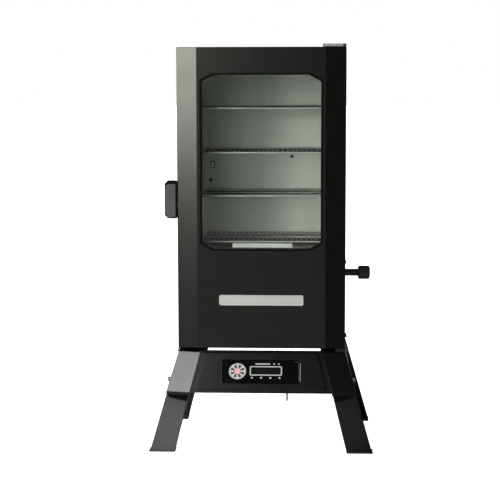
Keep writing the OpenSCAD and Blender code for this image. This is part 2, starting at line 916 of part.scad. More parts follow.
// ---------------------------------------------------------------- controls

module on_slope() {
    translate([0, slope_top_y, slope_top_z]) rotate([slope_angle, 0, 0]) children();
}

// Outline of the sloping panel, set in by a margin
function panel_outline(side_in, end_in) = [
    [-leg_in(slope_top_z) + side_in, -end_in], [-leg_in(slope_bottom_z) + side_in, -slope_len + end_in],
    [leg_in(slope_bottom_z) - side_in, -slope_len + end_in], [leg_in(slope_top_z) - side_in, -end_in]
];

module panel_layer(side_in, end_in, z0, z1) {
    translate([0, 0, z0]) linear_extrude(z1 - z0) polygon(panel_outline(side_in, end_in));
}

module dial_seat(z0, z1, r) {
    translate([dial_at[0], dial_at[1], z0]) cylinder(r = r, h = z1 - z0);
}

// Pressed panel with a sunk middle and a flange along its lower edge
module control_panel() {
    y = slope_y(slope_bottom_z);
    color("#18181a") {
        on_slope() difference() {
            union() {
                panel_layer(0.4, 0, -panel_t, 0);
                panel_layer(14, 8, -recess - panel_t, 0);
            }
            panel_layer(16.5, 10.5, -recess, 5);
        }
        box([-213, y + 2, slope_bottom_z], [213, y + 22, slope_bottom_z + panel_t]);
    }
}

module controller_fascia() {
    color("#0c0c0d") on_slope() difference() {
        translate([-1, fascia_v, -recess]) round_plate(fascia_w, fascia_h, recess + 1, 9);
        dial_seat(-recess + 2, 5, dial_r + 0.4);
        dial_seat(-recess - 5, 5, power_r - 1.5);
        translate([display_at[0] - display_w / 2, display_at[1] - display_h / 2, -0.5])
            cube([display_w, display_h, 5]);
    }
}

module controller_housing() {
    t = 2;
    color("#232325") on_slope() translate([0, fascia_v, -recess - panel_t - 32]) difference() {
        translate([-105, -40, 0]) cube([210, 80, 32]);
        translate([-105 + t, -40 + t, t]) cube([210 - 2 * t, 80 - 2 * t, 40]);
    }
}

module display_window() {
    color("#23272b", 0.6) on_slope()
        translate([display_at[0] - display_w / 2 + 0.2, display_at[1] - display_h / 2 + 0.2, -0.5])
            cube([display_w - 0.4, display_h - 0.4, 1.9]);
}

// Ring-shaped dial with eight raised ribs
module control_dial() {
    z0 = -recess + 2.4;
    color("#c9caca") on_slope() translate([dial_at[0], dial_at[1], 0]) {
        translate([0, 0, z0]) ring(dial_r, power_r + 0.4, 2.6 - z0);
        for (a = [0 : 45 : 315])
            rotate([0, 0, a]) translate([power_r + 2, -1.2, 2.6]) cube([dial_r - power_r - 4, 2.4, 1]);
    }
}

module power_button() {
    z0 = -recess + 2.4 + power_travel;
    color("#c4525c") on_slope() translate([dial_at[0], dial_at[1], z0])
        cylinder(r = power_r, h = 4.2 - z0);
}

// Short plain rod under the panel's lower edge
module panel_peg() {
    color("#1a1a1a") translate([80, slope_y(slope_bottom_z) + 12, slope_bottom_z - peg_h])
        cylinder(r = peg_r, h = peg_h);
}

// ---------------------------------------------------------------- assembly

side_panel_left();
side_panel_right();
top_panel();
back_panel();
bottom_panel();
front_frame();
liner_left();
liner_right();
liner_top();
liner_floor();
liner_back();
cabinet_insulation();
rack_ladder_left();
rack_ladder_right();
lower_shelf();
heating_element();
chip_tray();
water_bowl();
drip_pan();
loader_housing();
wall_sensors();
base_rail_left();
base_rail_right();
front_bracket_left();
front_bracket_right();
leg_front_left();
leg_front_right();
leg_rear_left();
leg_rear_right();
foot_pads();
leg_bolts();
control_panel();
controller_fascia();
controller_housing();
display_window();
panel_peg();
hinge_brackets();
latch_mount();
vent_damper();
cord_gland();
grease_tray();
cabinet_screws();
door_shell();
door_liner();
door_insulation();
window_outer();
window_inner();
window_trim();
door_gasket();
hinge_bushes();
badge();
latch_lever();
rack_1();
rack_2();
rack_3();
rack_4();
loader_collar();
chip_scoop();
control_dial();
power_button();
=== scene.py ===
"""Looks of an electric cabinet smoker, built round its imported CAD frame.

Lengths are in millimetres in the CAD's frame and turn into metres as a mesh is made. Most
shapes are lofts: outlines in (u, v), lifted to heights w and placed by one of the facings.
"""

import json
from math import atan2, cos, pi, radians, sin, tan

import bmesh
import bpy
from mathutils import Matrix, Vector
from mathutils.bvhtree import BVHTree


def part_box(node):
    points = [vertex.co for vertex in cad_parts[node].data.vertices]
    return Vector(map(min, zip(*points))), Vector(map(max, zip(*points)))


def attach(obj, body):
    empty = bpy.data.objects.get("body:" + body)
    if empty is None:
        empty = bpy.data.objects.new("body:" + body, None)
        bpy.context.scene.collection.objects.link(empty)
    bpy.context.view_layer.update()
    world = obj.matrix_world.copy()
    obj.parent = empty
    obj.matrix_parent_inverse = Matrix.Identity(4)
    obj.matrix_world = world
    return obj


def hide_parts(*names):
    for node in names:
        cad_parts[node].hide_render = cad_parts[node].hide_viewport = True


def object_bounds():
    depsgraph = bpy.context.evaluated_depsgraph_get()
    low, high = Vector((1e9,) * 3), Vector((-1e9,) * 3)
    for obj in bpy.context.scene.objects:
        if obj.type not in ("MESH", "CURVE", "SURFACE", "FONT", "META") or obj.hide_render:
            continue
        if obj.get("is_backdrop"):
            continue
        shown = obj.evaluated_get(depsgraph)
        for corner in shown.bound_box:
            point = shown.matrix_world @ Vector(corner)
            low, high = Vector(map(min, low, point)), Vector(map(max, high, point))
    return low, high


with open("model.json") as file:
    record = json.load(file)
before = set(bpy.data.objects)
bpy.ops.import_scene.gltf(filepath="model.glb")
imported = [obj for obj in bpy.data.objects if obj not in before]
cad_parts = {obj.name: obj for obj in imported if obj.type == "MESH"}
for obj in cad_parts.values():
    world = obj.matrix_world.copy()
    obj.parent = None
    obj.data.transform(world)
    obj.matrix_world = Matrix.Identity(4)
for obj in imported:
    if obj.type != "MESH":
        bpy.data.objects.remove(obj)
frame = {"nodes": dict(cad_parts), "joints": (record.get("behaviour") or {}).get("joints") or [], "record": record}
cad_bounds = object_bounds()

MM = 0.001
NODES = frame["nodes"]
JOINTS = {j["name"]: j for j in frame["joints"]}
SLOTS = {s["node"]: s["material_slot"] for s in frame["record"]["subparts"]}
BODY_OF = {n: b for b, names in frame["record"]["behaviour"]["bodies"].items() for n in names}
SHARP = radians(38)  # edges over this are shaded hard
CREASE = radians(25)  # edges over this part two smooth areas
WELD = 1e-6  # metres: points nearer to each other are made one
FOLD_ROOM = 8  # width of a smooth area that has room for a fold's radius
ARC = 5  # steps in a rounded corner
AROUND = 64  # points round a turned part


def span(node):
    """Lowest and highest corner of a CAD node, in millimetres."""
    lo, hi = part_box(node)
    return lo / MM, hi / MM


def joint_at(name):
    return Vector(JOINTS[name]["pos_m"]) / MM


# ---- outlines


def rect(x0, y0, x1, y1):
    return [(x0, y0), (x1, y0), (x1, y1), (x0, y1)]


def mid_rect(u, v, w, h, inset=0.0):
    """Rectangle about a centre."""
    return rect(u - w / 2 + inset, v - h / 2 + inset, u + w / 2 - inset, v + h / 2 - inset)


def front_rect(lo, hi, inset):
    """A node's box seen from the front."""
    return rect(lo.x + inset, lo.z + inset, hi.x - inset, hi.z - inset)


def cut_rect(w, h, cx, cy, v):
    """Rectangle about (0, v) with its corners cut off."""
    x, low, high = w / 2, v - h / 2, v + h / 2
    return [
        (-x + cx, low), (x - cx, low), (x, low + cy), (x, high - cy),
        (x - cx, high), (-x + cx, high), (-x, high - cy), (-x, low + cy),
    ]


def fillet(points, radii, steps=ARC):
    """Closed outline with round corners, each made of steps + 1 points."""
    if not isinstance(radii, (list, tuple)):
        radii = [radii] * len(points)
    out = []
    for i, p in enumerate(points):
        p = Vector(p)
        a = (Vector(points[i - 1]) - p).normalized()
        b = (Vector(points[(i + 1) % len(points)]) - p).normalized()
        half = a.angle(b) / 2
        r = max(radii[i], 0.02)
        centre = p + (a + b).normalized() * (r / sin(half))
        start = p + a * (r / tan(half)) - centre
        end = p + b * (r / tan(half)) - centre
        first = atan2(start.y, start.x)
        turn = atan2(end.y, end.x) - first
        turn = (turn + pi) % (2 * pi) - pi
        for k in range(steps + 1):
            t = first + turn * k / steps
            out.append((centre.x + r * cos(t), centre.y + r * sin(t)))
    return out


def circle(r, at=(0, 0), n=AROUND):
    angles = [2 * pi * k / n for k in range(n)]
    return [(at[0] + r * cos(a), at[1] + r * sin(a)) for a in angles]


def arc(r, steps=4):
    """(inset, rise) pairs of a quarter round, from the side of a block to its face."""
    angles = [pi / 2 * k / steps for k in range(steps + 1)]
    return [(r * (1 - cos(a)), r * sin(a)) for a in angles]


# ---- placing

DIAL_AT = (-71, -64, 2)  # the dial's joint in the sloping panel's own frame
DIAL_UV = DIAL_AT[:2]
SLOPE_N = Vector(JOINTS["dial_turn"]["axis"])
SLOPE_V = Vector((0, SLOPE_N.z, -SLOPE_N.y))
SLOPE_O = (
    joint_at("dial_turn")
    - Vector((DIAL_AT[0], 0, 0))
    - SLOPE_V * DIAL_AT[1]
    - SLOPE_N * DIAL_AT[2]
)


def on_slope(u, v, w):
    """A point of the sloping panel's frame: u right, v up the slope, w out of it."""
    return SLOPE_O + Vector((u, 0, 0)) + SLOPE_V * v + SLOPE_N * w


def facing_front(y):
    return lambda u, v, w: (u, y - w, v)


def facing_back(y):
    return lambda u, v, w: (u, y + w, v)


def facing_up(z):
    return lambda u, v, w: (u, v, z + w)


def facing_right(x):
    return lambda u, v, w: (x + w, u, v)


FRONT, BACK, UP, RIGHT = facing_front(0), facing_back(0), facing_up(0), facing_right(0)


def lift(outline, w, place):
    return [place(u, v, w) for u, v in outline]


# ---- solids


def loft(loops, ring=False):
    """Closed skin through loops of equal length: capped at both ends, or a ring."""
    bm = bmesh.new()
    rows = [[bm.verts.new(Vector(p) * MM) for p in loop] for loop in loops]
    for a, b in list(zip(rows, rows[1:])) + ([(rows[-1], rows[0])] if ring else []):
        for i in range(len(a)):
            bm.faces.new((a[i - 1], a[i], b[i], b[i - 1]))
    if not ring:
        bm.faces.new(rows[0])
        bm.faces.new(rows[-1])
    bmesh.ops.recalc_face_normals(bm, faces=bm.faces)
    return bm


def stack(outline_at, steps, place):
    """A loop for each (inset, w) of steps. outline_at(inset) gives its outline."""
    return [lift(outline_at(inset), w, place) for inset, w in steps]


def hoop(outline_at, steps, place):
    """Closed ring with steps as its section."""
    return loft(stack(outline_at, steps, place), ring=True)


def prism(outline, w0, w1, place):
    return loft([lift(outline, w0, place), lift(outline, w1, place)])


def peg(r, at, w0, w1, place, n=AROUND):
    """Plain round prism, to cut a hole with."""
    return prism(circle(r, at, n), w0, w1, place)


def turned(profile, centre, place, n=AROUND, flutes=None):
    """Solid turned round w from (radius, w) pairs. flutes is (count, depth, from w, to w)."""
    loops = []
    for r, w in profile:
        loop = []
        for k in range(n):
            a = 2 * pi * k / n
            rr = r
            if flutes and flutes[2] < w < flutes[3]:
                rr -= flutes[1] * max(0, cos(flutes[0] * a)) ** 2
            loop.append(place(centre[0] + rr * cos(a), centre[1] + rr * sin(a), w))
        loops.append(loop)
    return loft(loops)


def pad(outline_at, w0, w1, edge, place):
    """Plate with a rounded front edge."""
    rounded = [(inset, w1 - edge + rise) for inset, rise in arc(edge)]
    return loft(stack(outline_at, [(0, w0)] + rounded, place))


def tube(path, r, closed=False, sides=12):
    """Rod along a path, with domed ends."""
    points = [Vector(p) for p in path]
    angles = [2 * pi * k / sides for k in range(sides)]
    n = len(points)
    rows = []
    side = None
    for i, p in enumerate(points):
        before = points[i - 1] if closed or i else p
        after = points[(i + 1) % n] if closed or i < n - 1 else p
        along = (after - before).normalized()
        if side is None:
            side = along.orthogonal().normalized()
        side = (side - along * side.dot(along)).normalized()
        up = along.cross(side)
        rows.append([p + (side * cos(a) + up * sin(a)) * r for a in angles])
    if closed:
        return loft(rows, ring=True)
    for end, row in ((0, rows[0]), (-1, rows[-1])):
        tip = [points[end] + (q - points[end]) * 0.6 for q in row]
        step = (points[end] - points[1 if end == 0 else -2]).normalized() * r * 0.5
        tip = [q + step for q in tip]
        rows = [tip] + rows if end == 0 else rows + [tip]
    return loft(rows)


def joined(*parts):
    """One mesh of several, each kept as its own closed island."""
    bm = bmesh.new()
    for part in parts:
        mesh = bpy.data.meshes.new("part")
        part.to_mesh(mesh)
        part.free()
        bm.from_mesh(mesh)
        bpy.data.meshes.remove(mesh)
    return bm


def linked(name, data):
    obj = bpy.data.objects.new(name, data)
    bpy.context.scene.collection.objects.link(obj)
    return obj


def holder(name, bm):
    mesh = bpy.data.meshes.new(name)
    bm.to_mesh(mesh)
    bm.free()
    return linked(name, mesh)


def worked_out(obj):
    """The object's mesh with its modifiers applied, as bmesh. The object goes."""
    seen = obj.evaluated_get(bpy.context.evaluated_depsgraph_get())
    mesh = bpy.data.meshes.new_from_object(seen)
    bm = bmesh.new()
    bm.from_mesh(mesh)
    for gone in (mesh, obj.data):
        bpy.data.meshes.remove(gone)
    return bm


def boolean(body, *tools, operation="DIFFERENCE"):
    """body cut by, or joined to, each tool in turn."""
    for tool in tools:
        a, b = holder("work", body), holder("tool", tool)
        cut = a.modifiers.new("cut", "BOOLEAN")
        cut.operation, cut.solver, cut.object = operation, "EXACT", b
        body = worked_out(a)
        bpy.data.meshes.remove(b.data)
    bmesh.ops.remove_doubles(body, verts=body.verts, dist=WELD)
    return body


def bevelled(bm, width, segments, limit):
    obj = holder("work", bm)
    bevel = obj.modifiers.new("ease", "BEVEL")
    bevel.width, bevel.segments, bevel.limit_method = width * MM, segments, limit
    bevel.angle_limit = radians(50)
    bevel.use_clamp_overlap = False
    return worked_out(obj)


def eased(bm, width):
    """bm with its sharp edges rounded."""
    return bevelled(bm, width, 2, "ANGLE")


def smooth_areas(bm):
    """For each face, the width of the smooth area that it belongs to."""
    widths, seen = {}, set()
    for start in bm.faces:
        if start in seen:
            continue
        group, stack = {start}, [start]
        while stack:
            for edge in stack.pop().edges:
                if len(edge.link_faces) == 2 and edge.calc_face_angle(0) < CREASE:
                    for face in edge.link_faces:
                        if face not in group:
                            group.add(face)
                            stack.append(face)
        rim = sum(
            e.calc_length() for f in group for e in f.edges
            if any(other not in group for other in e.link_faces)
        )
        area = sum(f.calc_area() for f in group)
        seen |= group
        for face in group:
            widths[face] = 2 * area / max(rim, 1e-6)
    return widths


def refined(node, fold=0.0, edge=0.4):
    """A CAD node's shape with its sheet folds rounded by fold and its edges by edge."""
    bm = bmesh.new()
    bm.from_mesh(NODES[node].data)
    bmesh.ops.remove_doubles(bm, verts=bm.verts, dist=WELD)
    bmesh.ops.dissolve_limit(
        bm, angle_limit=radians(0.3), verts=bm.verts, edges=bm.edges)
    widest = max(fold, edge)
    weight = bm.edges.layers.float.new("bevel_weight_edge")
    widths = smooth_areas(bm)
    for e in bm.edges:
        if len(e.link_faces) == 2 and e.calc_face_angle(0) > CREASE:
            room = min(widths[f] for f in e.link_faces) / MM
            radius = fold if fold and room > FOLD_ROOM else min(edge, 0.28 * room)
            e[weight] = radius / widest
    return bevelled(bm, widest, 3, "WEIGHT")


# ---- materials


def rgb(colour):
    """A colour, which may be given as one grey level."""
    return colour if isinstance(colour, tuple) else (colour,) * 3


def feed(tree, node, inputs):
    """Set a node's inputs, each to a value or to another node's output."""
    for key, value in inputs.items():
        if isinstance(value, bpy.types.NodeSocket):
            tree.links.new(value, node.inputs[key])
        else:
            node.inputs[key].default_value = value


def node_maker(tree):
    def add(kind, inputs=None, operation=None, data_type=None):
        node = tree.nodes.new("ShaderNode" + kind)
        if operation:
            node.operation = operation
        if data_type:
            node.data_type = data_type
        feed(tree, node, inputs or {})
        return node

    return add


def finish_of(name, colour, rough, metallic=0.0, specular=0.5, mottle=0.12, mottle_size=45,
              spread=0.012, grain=0.7, depth=0.01, stretch=(1, 1, 1), coat=0.0, worn=None,
              transmission=0.0):
    """Procedural finish. Sizes are in millimetres; worn is the colour of rubbed edges."""
    mat = bpy.data.materials.new(name)
    mat.use_nodes = True
    tree = mat.node_tree
    add = node_maker(tree)
    where = add("TexCoord").outputs["Object"]
    place = add("Mapping", {"Vector": where, "Scale": stretch}).outputs[0]

    def noise(size, detail):
        scale = 1 / (size * MM)
        return add("TexNoise", {"Vector": place, "Scale": scale, "Detail": detail}).outputs[0]

    def ranged(value, a, b, lo=0.3, hi=0.7):
        ends = {"From Min": lo, "From Max": hi, "To Min": a, "To Max": b}
        return add("MapRange", {"Value": value, **ends}).outputs[0]

    ramp = add("ValToRGB", {"Fac": noise(mottle_size, 4)})
    for stop, at, k in zip(ramp.color_ramp.elements, (0.32, 0.68), (1 - mottle, 1 + mottle)):
        stop.position = at
        stop.color = [min(1, c * k) for c in rgb(colour)] + [1]
    tint = ramp.outputs["Color"]
    gloss = ranged(noise(mottle_size * 1.3, 2), rough - spread, rough + spread)
    if worn:
        rounded = add("Bevel", {"Radius": 1.5 * MM})
        rounded.samples = 4
        normals = {0: rounded.outputs["Normal"], 1: add("NewGeometry").outputs["Normal"]}
        facing = add("VectorMath", normals, "DOT_PRODUCT").outputs["Value"]
        patchy = ranged(noise(9, 5), 0, 0.8, 0.42, 0.62)
        rub = add("Math", {0: ranged(facing, 1, 0, 0.9, 0.99), 1: patchy}, "MULTIPLY")
        colours = {0: rub.outputs[0], 6: tint, 7: [*rgb(worn), 1]}
        tint = add("Mix", colours, data_type="RGBA").outputs[2]
    bump = add("Bump", {"Distance": depth * MM, "Height": noise(grain, 3)})
    feed(tree, tree.nodes["Principled BSDF"], {
        "Base Color": tint, "Roughness": gloss, "Normal": bump.outputs["Normal"],
        "Metallic": metallic, "Specular IOR Level": specular, "Coat Weight": coat,
        "Coat Roughness": 0.08, "Transmission Weight": transmission,
    })
    return mat


# Each is a name, a colour, a roughness and the rest. No range of roughness crosses 0.274:
# the renderer's denoiser treats the two sides differently and draws a contour between them.
FINISHES = (
    ("cabinet_paint", (0.0015, 0.0015, 0.0013), 0.29,
     dict(spread=0.01, grain=1.4, depth=0.003, worn=0.012)),
    ("dark_paint", 0.003, 0.42, dict(grain=1.1, depth=0.006)),
    ("stand_paint", 0.0018, 0.31, dict(grain=1.0, depth=0.005, worn=0.015)),
    ("panel_paint", 0.0022, 0.29,
     dict(specular=0.38, spread=0.01, grain=1.3, depth=0.003, worn=0.02)),
    ("stainless", (0.72, 0.74, 0.69), 0.5,
     dict(metallic=0.72, mottle=0.07, mottle_size=70, spread=0.03, grain=0.8, depth=0.004,
          stretch=(1, 1, 0.03))),
    ("pressed_steel", (0.8, 0.81, 0.78), 0.42,
     dict(metallic=1, mottle=0.06, mottle_size=30, spread=0.05, grain=0.9, depth=0.004,
          stretch=(0.05, 1, 1), worn=(0.75, 0.75, 0.74))),
    ("wool", (0.62, 0.54, 0.3), 0.95,
     dict(specular=0.1, mottle=0.25, mottle_size=8, grain=1.2, depth=0.6)),
    # Kept darker than real chrome so that the rack wires look dark: painted shade.
    ("chrome_wire", (0.32, 0.325, 0.32), 0.2,
     dict(metallic=1, mottle=0.05, mottle_size=20, spread=0.05, grain=0.8, depth=0.003)),
    ("element_sheath", (0.08, 0.075, 0.07), 0.55,
     dict(metallic=0.8, mottle=0.35, mottle_size=12, spread=0.12, grain=0.6, depth=0.02)),
    ("zinc_steel", (0.55, 0.55, 0.56), 0.4,
     dict(metallic=1, mottle=0.16, mottle_size=6, spread=0.08, grain=1.1, depth=0.006,
          worn=0.5)),
    ("latch_paint", (0.024, 0.024, 0.025), 0.38, dict(grain=0.9, depth=0.008, worn=0.12)),
    ("pane", (0.8, 0.815, 0.82), 0.012,
     dict(spread=0.0096, mottle=0.02, mottle_size=90, depth=0.0005, transmission=1)),
    ("seal_rubber", 0.02, 0.62, dict(specular=0.35, grain=0.5, depth=0.02)),
    ("bush_bronze", (0.5, 0.34, 0.17), 0.4, dict(metallic=1, mottle=0.2, mottle_size=3)),
    ("badge_aluminium", (0.4, 0.4, 0.395), 0.42,
     dict(metallic=0.6, mottle=0.08, mottle_size=12, grain=0.35, depth=0.004,
          stretch=(0.03, 1, 1), worn=0.6)),
    ("tab_steel", (0.78, 0.78, 0.77), 0.4,
     dict(metallic=0.45, mottle=0.05, mottle_size=20, grain=0.35, depth=0.004,
          stretch=(0.03, 1, 1))),
    ("gloss_black", (0.0012, 0.0012, 0.0013), 0.14,
     dict(mottle_size=25, spread=0.03, grain=2.5, depth=0.002, coat=0.3)),
    ("matte_black", (0.012, 0.012, 0.013), 0.5, dict(grain=0.6, depth=0.03)),
    ("display_glass", (0.004, 0.0045, 0.005), 0.08,
     dict(mottle_size=18, spread=0.02, depth=0.001, coat=0.4)),
    ("dial_grey", (0.27, 0.28, 0.27), 0.4,
     dict(mottle=0.05, mottle_size=8, depth=0.01, worn=0.4)),
    ("button_red", (0.42, 0.2, 0.21), 0.35, dict(mottle=0.08, mottle_size=6, depth=0.008)),
    ("damper_paint", (0.012, 0.012, 0.013), 0.38, dict(grain=0.9, depth=0.01, worn=0.1)),
    # A lighter, rougher copy of the rack steel for the rack frames, so that they look bright: painted highlight.
    ("rod_plate", (0.55, 0.55, 0.54), 0.4,
     dict(metallic=0.6, mottle=0.05, mottle_size=12, spread=0.05, grain=0.8, depth=0.004)),
    ("pan_enamel", (0.03, 0.031, 0.028), 0.35,
     dict(mottle=0.2, mottle_size=14, spread=0.04, depth=0.008, worn=(0.2, 0.2, 0.19))),
    ("bead_rubber", (0.0018, 0.0018, 0.0017), 0.6,
     dict(specular=0.05, grain=0.5, depth=0.01)),
    ("pale_plastic", (0.85, 0.85, 0.8), 0.45, dict(mottle=0.08, mottle_size=5, depth=0.005)),
    ("print_white", (0.22, 0.22, 0.215), 0.5, dict(mottle=0.06, mottle_size=4, depth=0.002)),
)
FINISH = {name: finish_of(name, colour, rough, **rest) for name, colour, rough, rest in FINISHES}


def dressed(obj, finish):
    obj.data.materials.clear()
    obj.data.materials.append(FINISH[finish])


def shaded(obj):
    """Smooth shading that keeps flat faces flat and hard edges hard."""
    mesh = obj.data
    if "custom_normal" in mesh.attributes:
        mesh.attributes.remove(mesh.attributes["custom_normal"])
    mesh.shade_smooth()
    mesh.set_sharp_from_angle(angle=SHARP)
    even = obj.modifiers.new("even", "WEIGHTED_NORMAL")
    even.keep_sharp = True


def piece(name, bm, body, slot, stands_for=(), look=None):
    """A finished piece that rides on a body. look is its finish, if that isn't the slot's."""
    bmesh.ops.recalc_face_normals(bm, faces=bm.faces)
    obj = holder(name, bm)
    dressed(obj, look or slot)
    shaded(obj)
    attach(obj, body)
    if stands_for:
        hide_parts(*stands_for)
    return obj


def stand_in(name, bm, *nodes, look=None):
    """A piece in place of CAD nodes, with their body and slot."""
    return piece(name, bm, BODY_OF[nodes[0]], SLOTS[nodes[0]], nodes, look)


def extra(name, bm, beside, look=None):
    """A piece that the CAD doesn't have, with the body and slot of the node beside it."""
    return piece(name, bm, BODY_OF[beside], SLOTS[beside], look=look)


def refined_piece(node, fold=0.0, edge=0.4, look=None):
    return stand_in(node + ("_sheet" if fold else "_form"), refined(node, fold, edge), node,
                    look=look)


# ---- door

SKIN = 1.5
BEVEL_W, BEVEL_D = 61, 14  # the sloping strip down each side
PANE_MARGIN = 8  # glass behind the window's edge
CUT_X, CUT_Y = 38, 20  # the window's cut corners
KEEPER = (739, 750)  # heights of the latch's keeper tab

half_w = span("back_panel")[1].x
door_lo, door_hi = span("door_shell")
door_front, door_back = door_lo.y, door_hi.y
z_low, z_top = door_lo.z, door_hi.z
pane_lo, pane_hi = span("window_outer")
window_w = pane_hi.x - pane_lo.x - 2 * PANE_MARGIN
window_h = pane_hi.z - pane_lo.z - 2 * PANE_MARGIN
window_z = (pane_hi.z + pane_lo.z) / 2
hinge_at = joint_at("door_hinge")


def door_outline(inset, back=0.0):
    """The door seen from above."""
    x, y = half_w - inset, door_front + inset
    return fillet(
        [
            (-x, door_back + back), (-x, y + BEVEL_D), (-half_w + BEVEL_W, y),
            (half_w - BEVEL_W, y), (x, y + BEVEL_D), (x, door_back + back),
        ],
        [0.6, 1.5, 12, 12, 1.5, 0.6],
    )


def window_outline(grow):
    w, h = window_w + 2 * grow, window_h + 2 * grow
    return fillet(cut_rect(w, h, CUT_X, CUT_Y, window_z), 5.0)


def door_skin():
    edge = 2.2
    low = [(i, z_low + edge - rise) for i, rise in reversed(arc(edge))]
    high = [(i, z_top - edge + rise) for i, rise in arc(edge)]
    sides = ((0.7, 5), (0.7, -0.01), (0, -0.7), (0, -5))
    opening = loft(stack(window_outline, sides, facing_front(door_front)))
    inside = prism(door_outline(SKIN, 3), z_low + SKIN, z_top - SKIN, UP)
    pin_hole = peg(5, (hinge_at.x, hinge_at.y), z_low - 2, z_top + 2, UP, 32)
    shell = boolean(loft(stack(door_outline, low + high, UP)), inside, opening, pin_hole)
    tab = rect(-half_w - 5, KEEPER[0], -half_w + 1, KEEPER[1])
    return joined(shell, eased(prism(tab, -3, 0, facing_front(door_front + 17)), 0.6))


def door_inner():
    """Inner sheet with a pressed bead round the window."""
    lo, hi = span("door_liner")
    face = facing_back(hi.y)
    w, h = hi.x - lo.x, hi.z - lo.z

    def border(inset):
        return fillet(cut_rect(w - 2 * inset, h - 2 * inset, 4, 4, (lo.z + hi.z) / 2), 2)

    bead = [(0.4, 0), (19, 0), (21, -0.5), (24, -1.8), (31, -1.8), (34, -0.5), (36, 0)]
    under = [(grow, w - SKIN) for grow, w in reversed(bead)]
    return loft(
        stack(window_outline, bead, face)
        + stack(border, ((0.4, 0), (0, -0.4), (0, -SKIN)), face)
        + stack(window_outline, under + [(0, -SKIN + 0.4), (0, -0.4)], face), ring=True)


def spacer():
    """Frame between the panes, with a rolled inner face."""
    lo, hi = span("window_trim")
    deep = hi.y - lo.y
    near = [(7.9, 0), (2.2, 0), (1.2, 1), (1.2, 5), (2.4, 6.2)]
    far = [(2.4, deep - 6.2), (1.2, deep - 5), (1.2, deep - 1), (2.2, deep), (7.9, deep)]
    return hoop(window_outline, near + far, facing_front(hi.y))


def window_pane(node):
    lo, hi = span(node)
    deep = hi.y - lo.y
    return loft(stack(lambda i: window_outline(PANE_MARGIN - i),
                      ((0.5, 0), (0, 0.5), (0, deep - 0.5), (0.5, deep)), facing_front(hi.y)))


def gasket():
    lo, hi = span("door_gasket")
    deep = hi.y - lo.y

    def outline(t):
        """A rounded rectangle t of the way from the outer to the inner edge."""
        w, h = hi.x - lo.x - 46 * t, hi.z - lo.z - 36 * t
        return fillet(mid_rect(0, (lo.z + hi.z) / 2, w, h), 14 - 8 * t, 8)

    section = [
        (0, 0), (0.01, 0.45), (0.06, 0.85), (0.14, 1), (0.3, 1), (0.38, 0.8), (0.42, 0.5),
        (0.5, 0.42), (0.58, 0.5), (0.62, 0.8), (0.7, 1), (0.86, 1), (0.94, 0.85), (0.99, 0.45),
        (1, 0),
    ]
    return hoop(outline, [(t, w * deep) for t, w in section], facing_back(lo.y))


def badge():
    """Blank plate with a raised border."""
    lo, hi = span("badge")
    deep = hi.y - lo.y
    steps = [(0, 0), (0, deep - 0.5), (0.15, deep - 0.15), (0.5, deep), (2, deep),
             (2.4, deep - 0.1), (2.9, deep - 0.6), (3.4, deep - 0.7)]
    return loft(stack(lambda i: fillet(front_rect(lo, hi, i), 6 - i * 0.7, 6), steps,
                      facing_front(hi.y)))


stand_in("door_skin", door_skin(), "door_shell")
stand_in("door_inner", door_inner(), "door_liner")
stand_in("window_spacer", spacer(), "window_trim")
for node in ("window_outer", "window_inner"):
    stand_in(node + "_pane", window_pane(node), node).visible_shadow = False
bead = hoop(window_outline, (
    (4.5, -0.2), (4.5, 0.3), (3.9, 0.9), (2.4, 1.2), (0.4, 1), (-0.9, 0.4), (-1.4, -0.6),
    (-1.3, -1.45), (-0.2, -1.45), (-0.2, -0.2)), facing_front(door_front))
extra("window_bead", bead, "door_gasket", look="bead_rubber")
stand_in("door_seal", gasket(), "door_gasket")
refined_piece("hinge_bushes", edge=0.5)
stand_in("name_plate", badge(), "badge")

# ---- cabinet

SHEET = 1.2
ROOF_R = 7
TUBE_R = 27.5
VENT_R = 28
DRAIN_AT = (0, 150)
PROBE_AT = (-175.5, 848)
PLUGS = (((-182, 798), 6), ((83, 873), 4))  # place on the rear wall, and height
loader_at, vent_at = joint_at("loader_turn"), joint_at("damper_turn")
LOADER_YZ, VENT_XY = (loader_at.y, loader_at.z), (vent_at.x, vent_at.y)
gland_lo, gland_hi = span("cord_gland")
CORD_XZ = ((gland_lo.x + gland_hi.x) / 2, (gland_lo.z + gland_hi.z) / 2)


def cabinet_wrap():
    """Sides and roof in one sheet, folded at the roof's edges."""
    x, t = half_w, SHEET
    sheet = fillet(
        [(-x, z_low), (-x, z_top), (x, z_top), (x, z_low), (x - t, z_low), (x - t, z_top - t),
         (-x + t, z_top - t), (-x + t, z_low)],
        [0.3, ROOF_R, ROOF_R, 0.3, 0.3, ROOF_R - t, ROOF_R - t, 0.3],
    )
    side = span("side_panel_left")
    body = prism(sheet, -side[1].y, -side[0].y, FRONT)
    hole = peg(TUBE_R, LOADER_YZ, x - 6, x + 6, RIGHT)
    vent = peg(VENT_R, VENT_XY, z_top - 6, z_top + 6, UP)
    return boolean(body, hole, vent)


def body_outline(inset):
    r = ROOF_R - inset * 0.5
    return fillet(
        rect(-half_w + inset, z_low + inset, half_w - inset, z_top - inset), [1, 1, r, r], 6)


def face_frame():
    """Front sheet of the cabinet, with a rolled edge round the doorway."""
    lo, hi = span("front_frame")
    face, deep = facing_front(hi.y), hi.y - lo.y
    x, z0, z1 = span("liner_right")[1].x, span("liner_left")[0].z, span("liner_left")[1].z

    def doorway(grow):
        return fillet(rect(-x - grow, z0 - grow, x + grow, z1 + grow), 11, 6)

    roll = ((3, deep), (1.2, deep - 0.25), (0.3, deep - 0.8), (0, -3), (1, -3), (1.5, 0))
    return loft(
        stack(body_outline, ((0, 0.3), (0.3, deep)), face)
        + stack(doorway, roll, face)
        + stack(body_outline, ((0.3, 0),), face), ring=True)


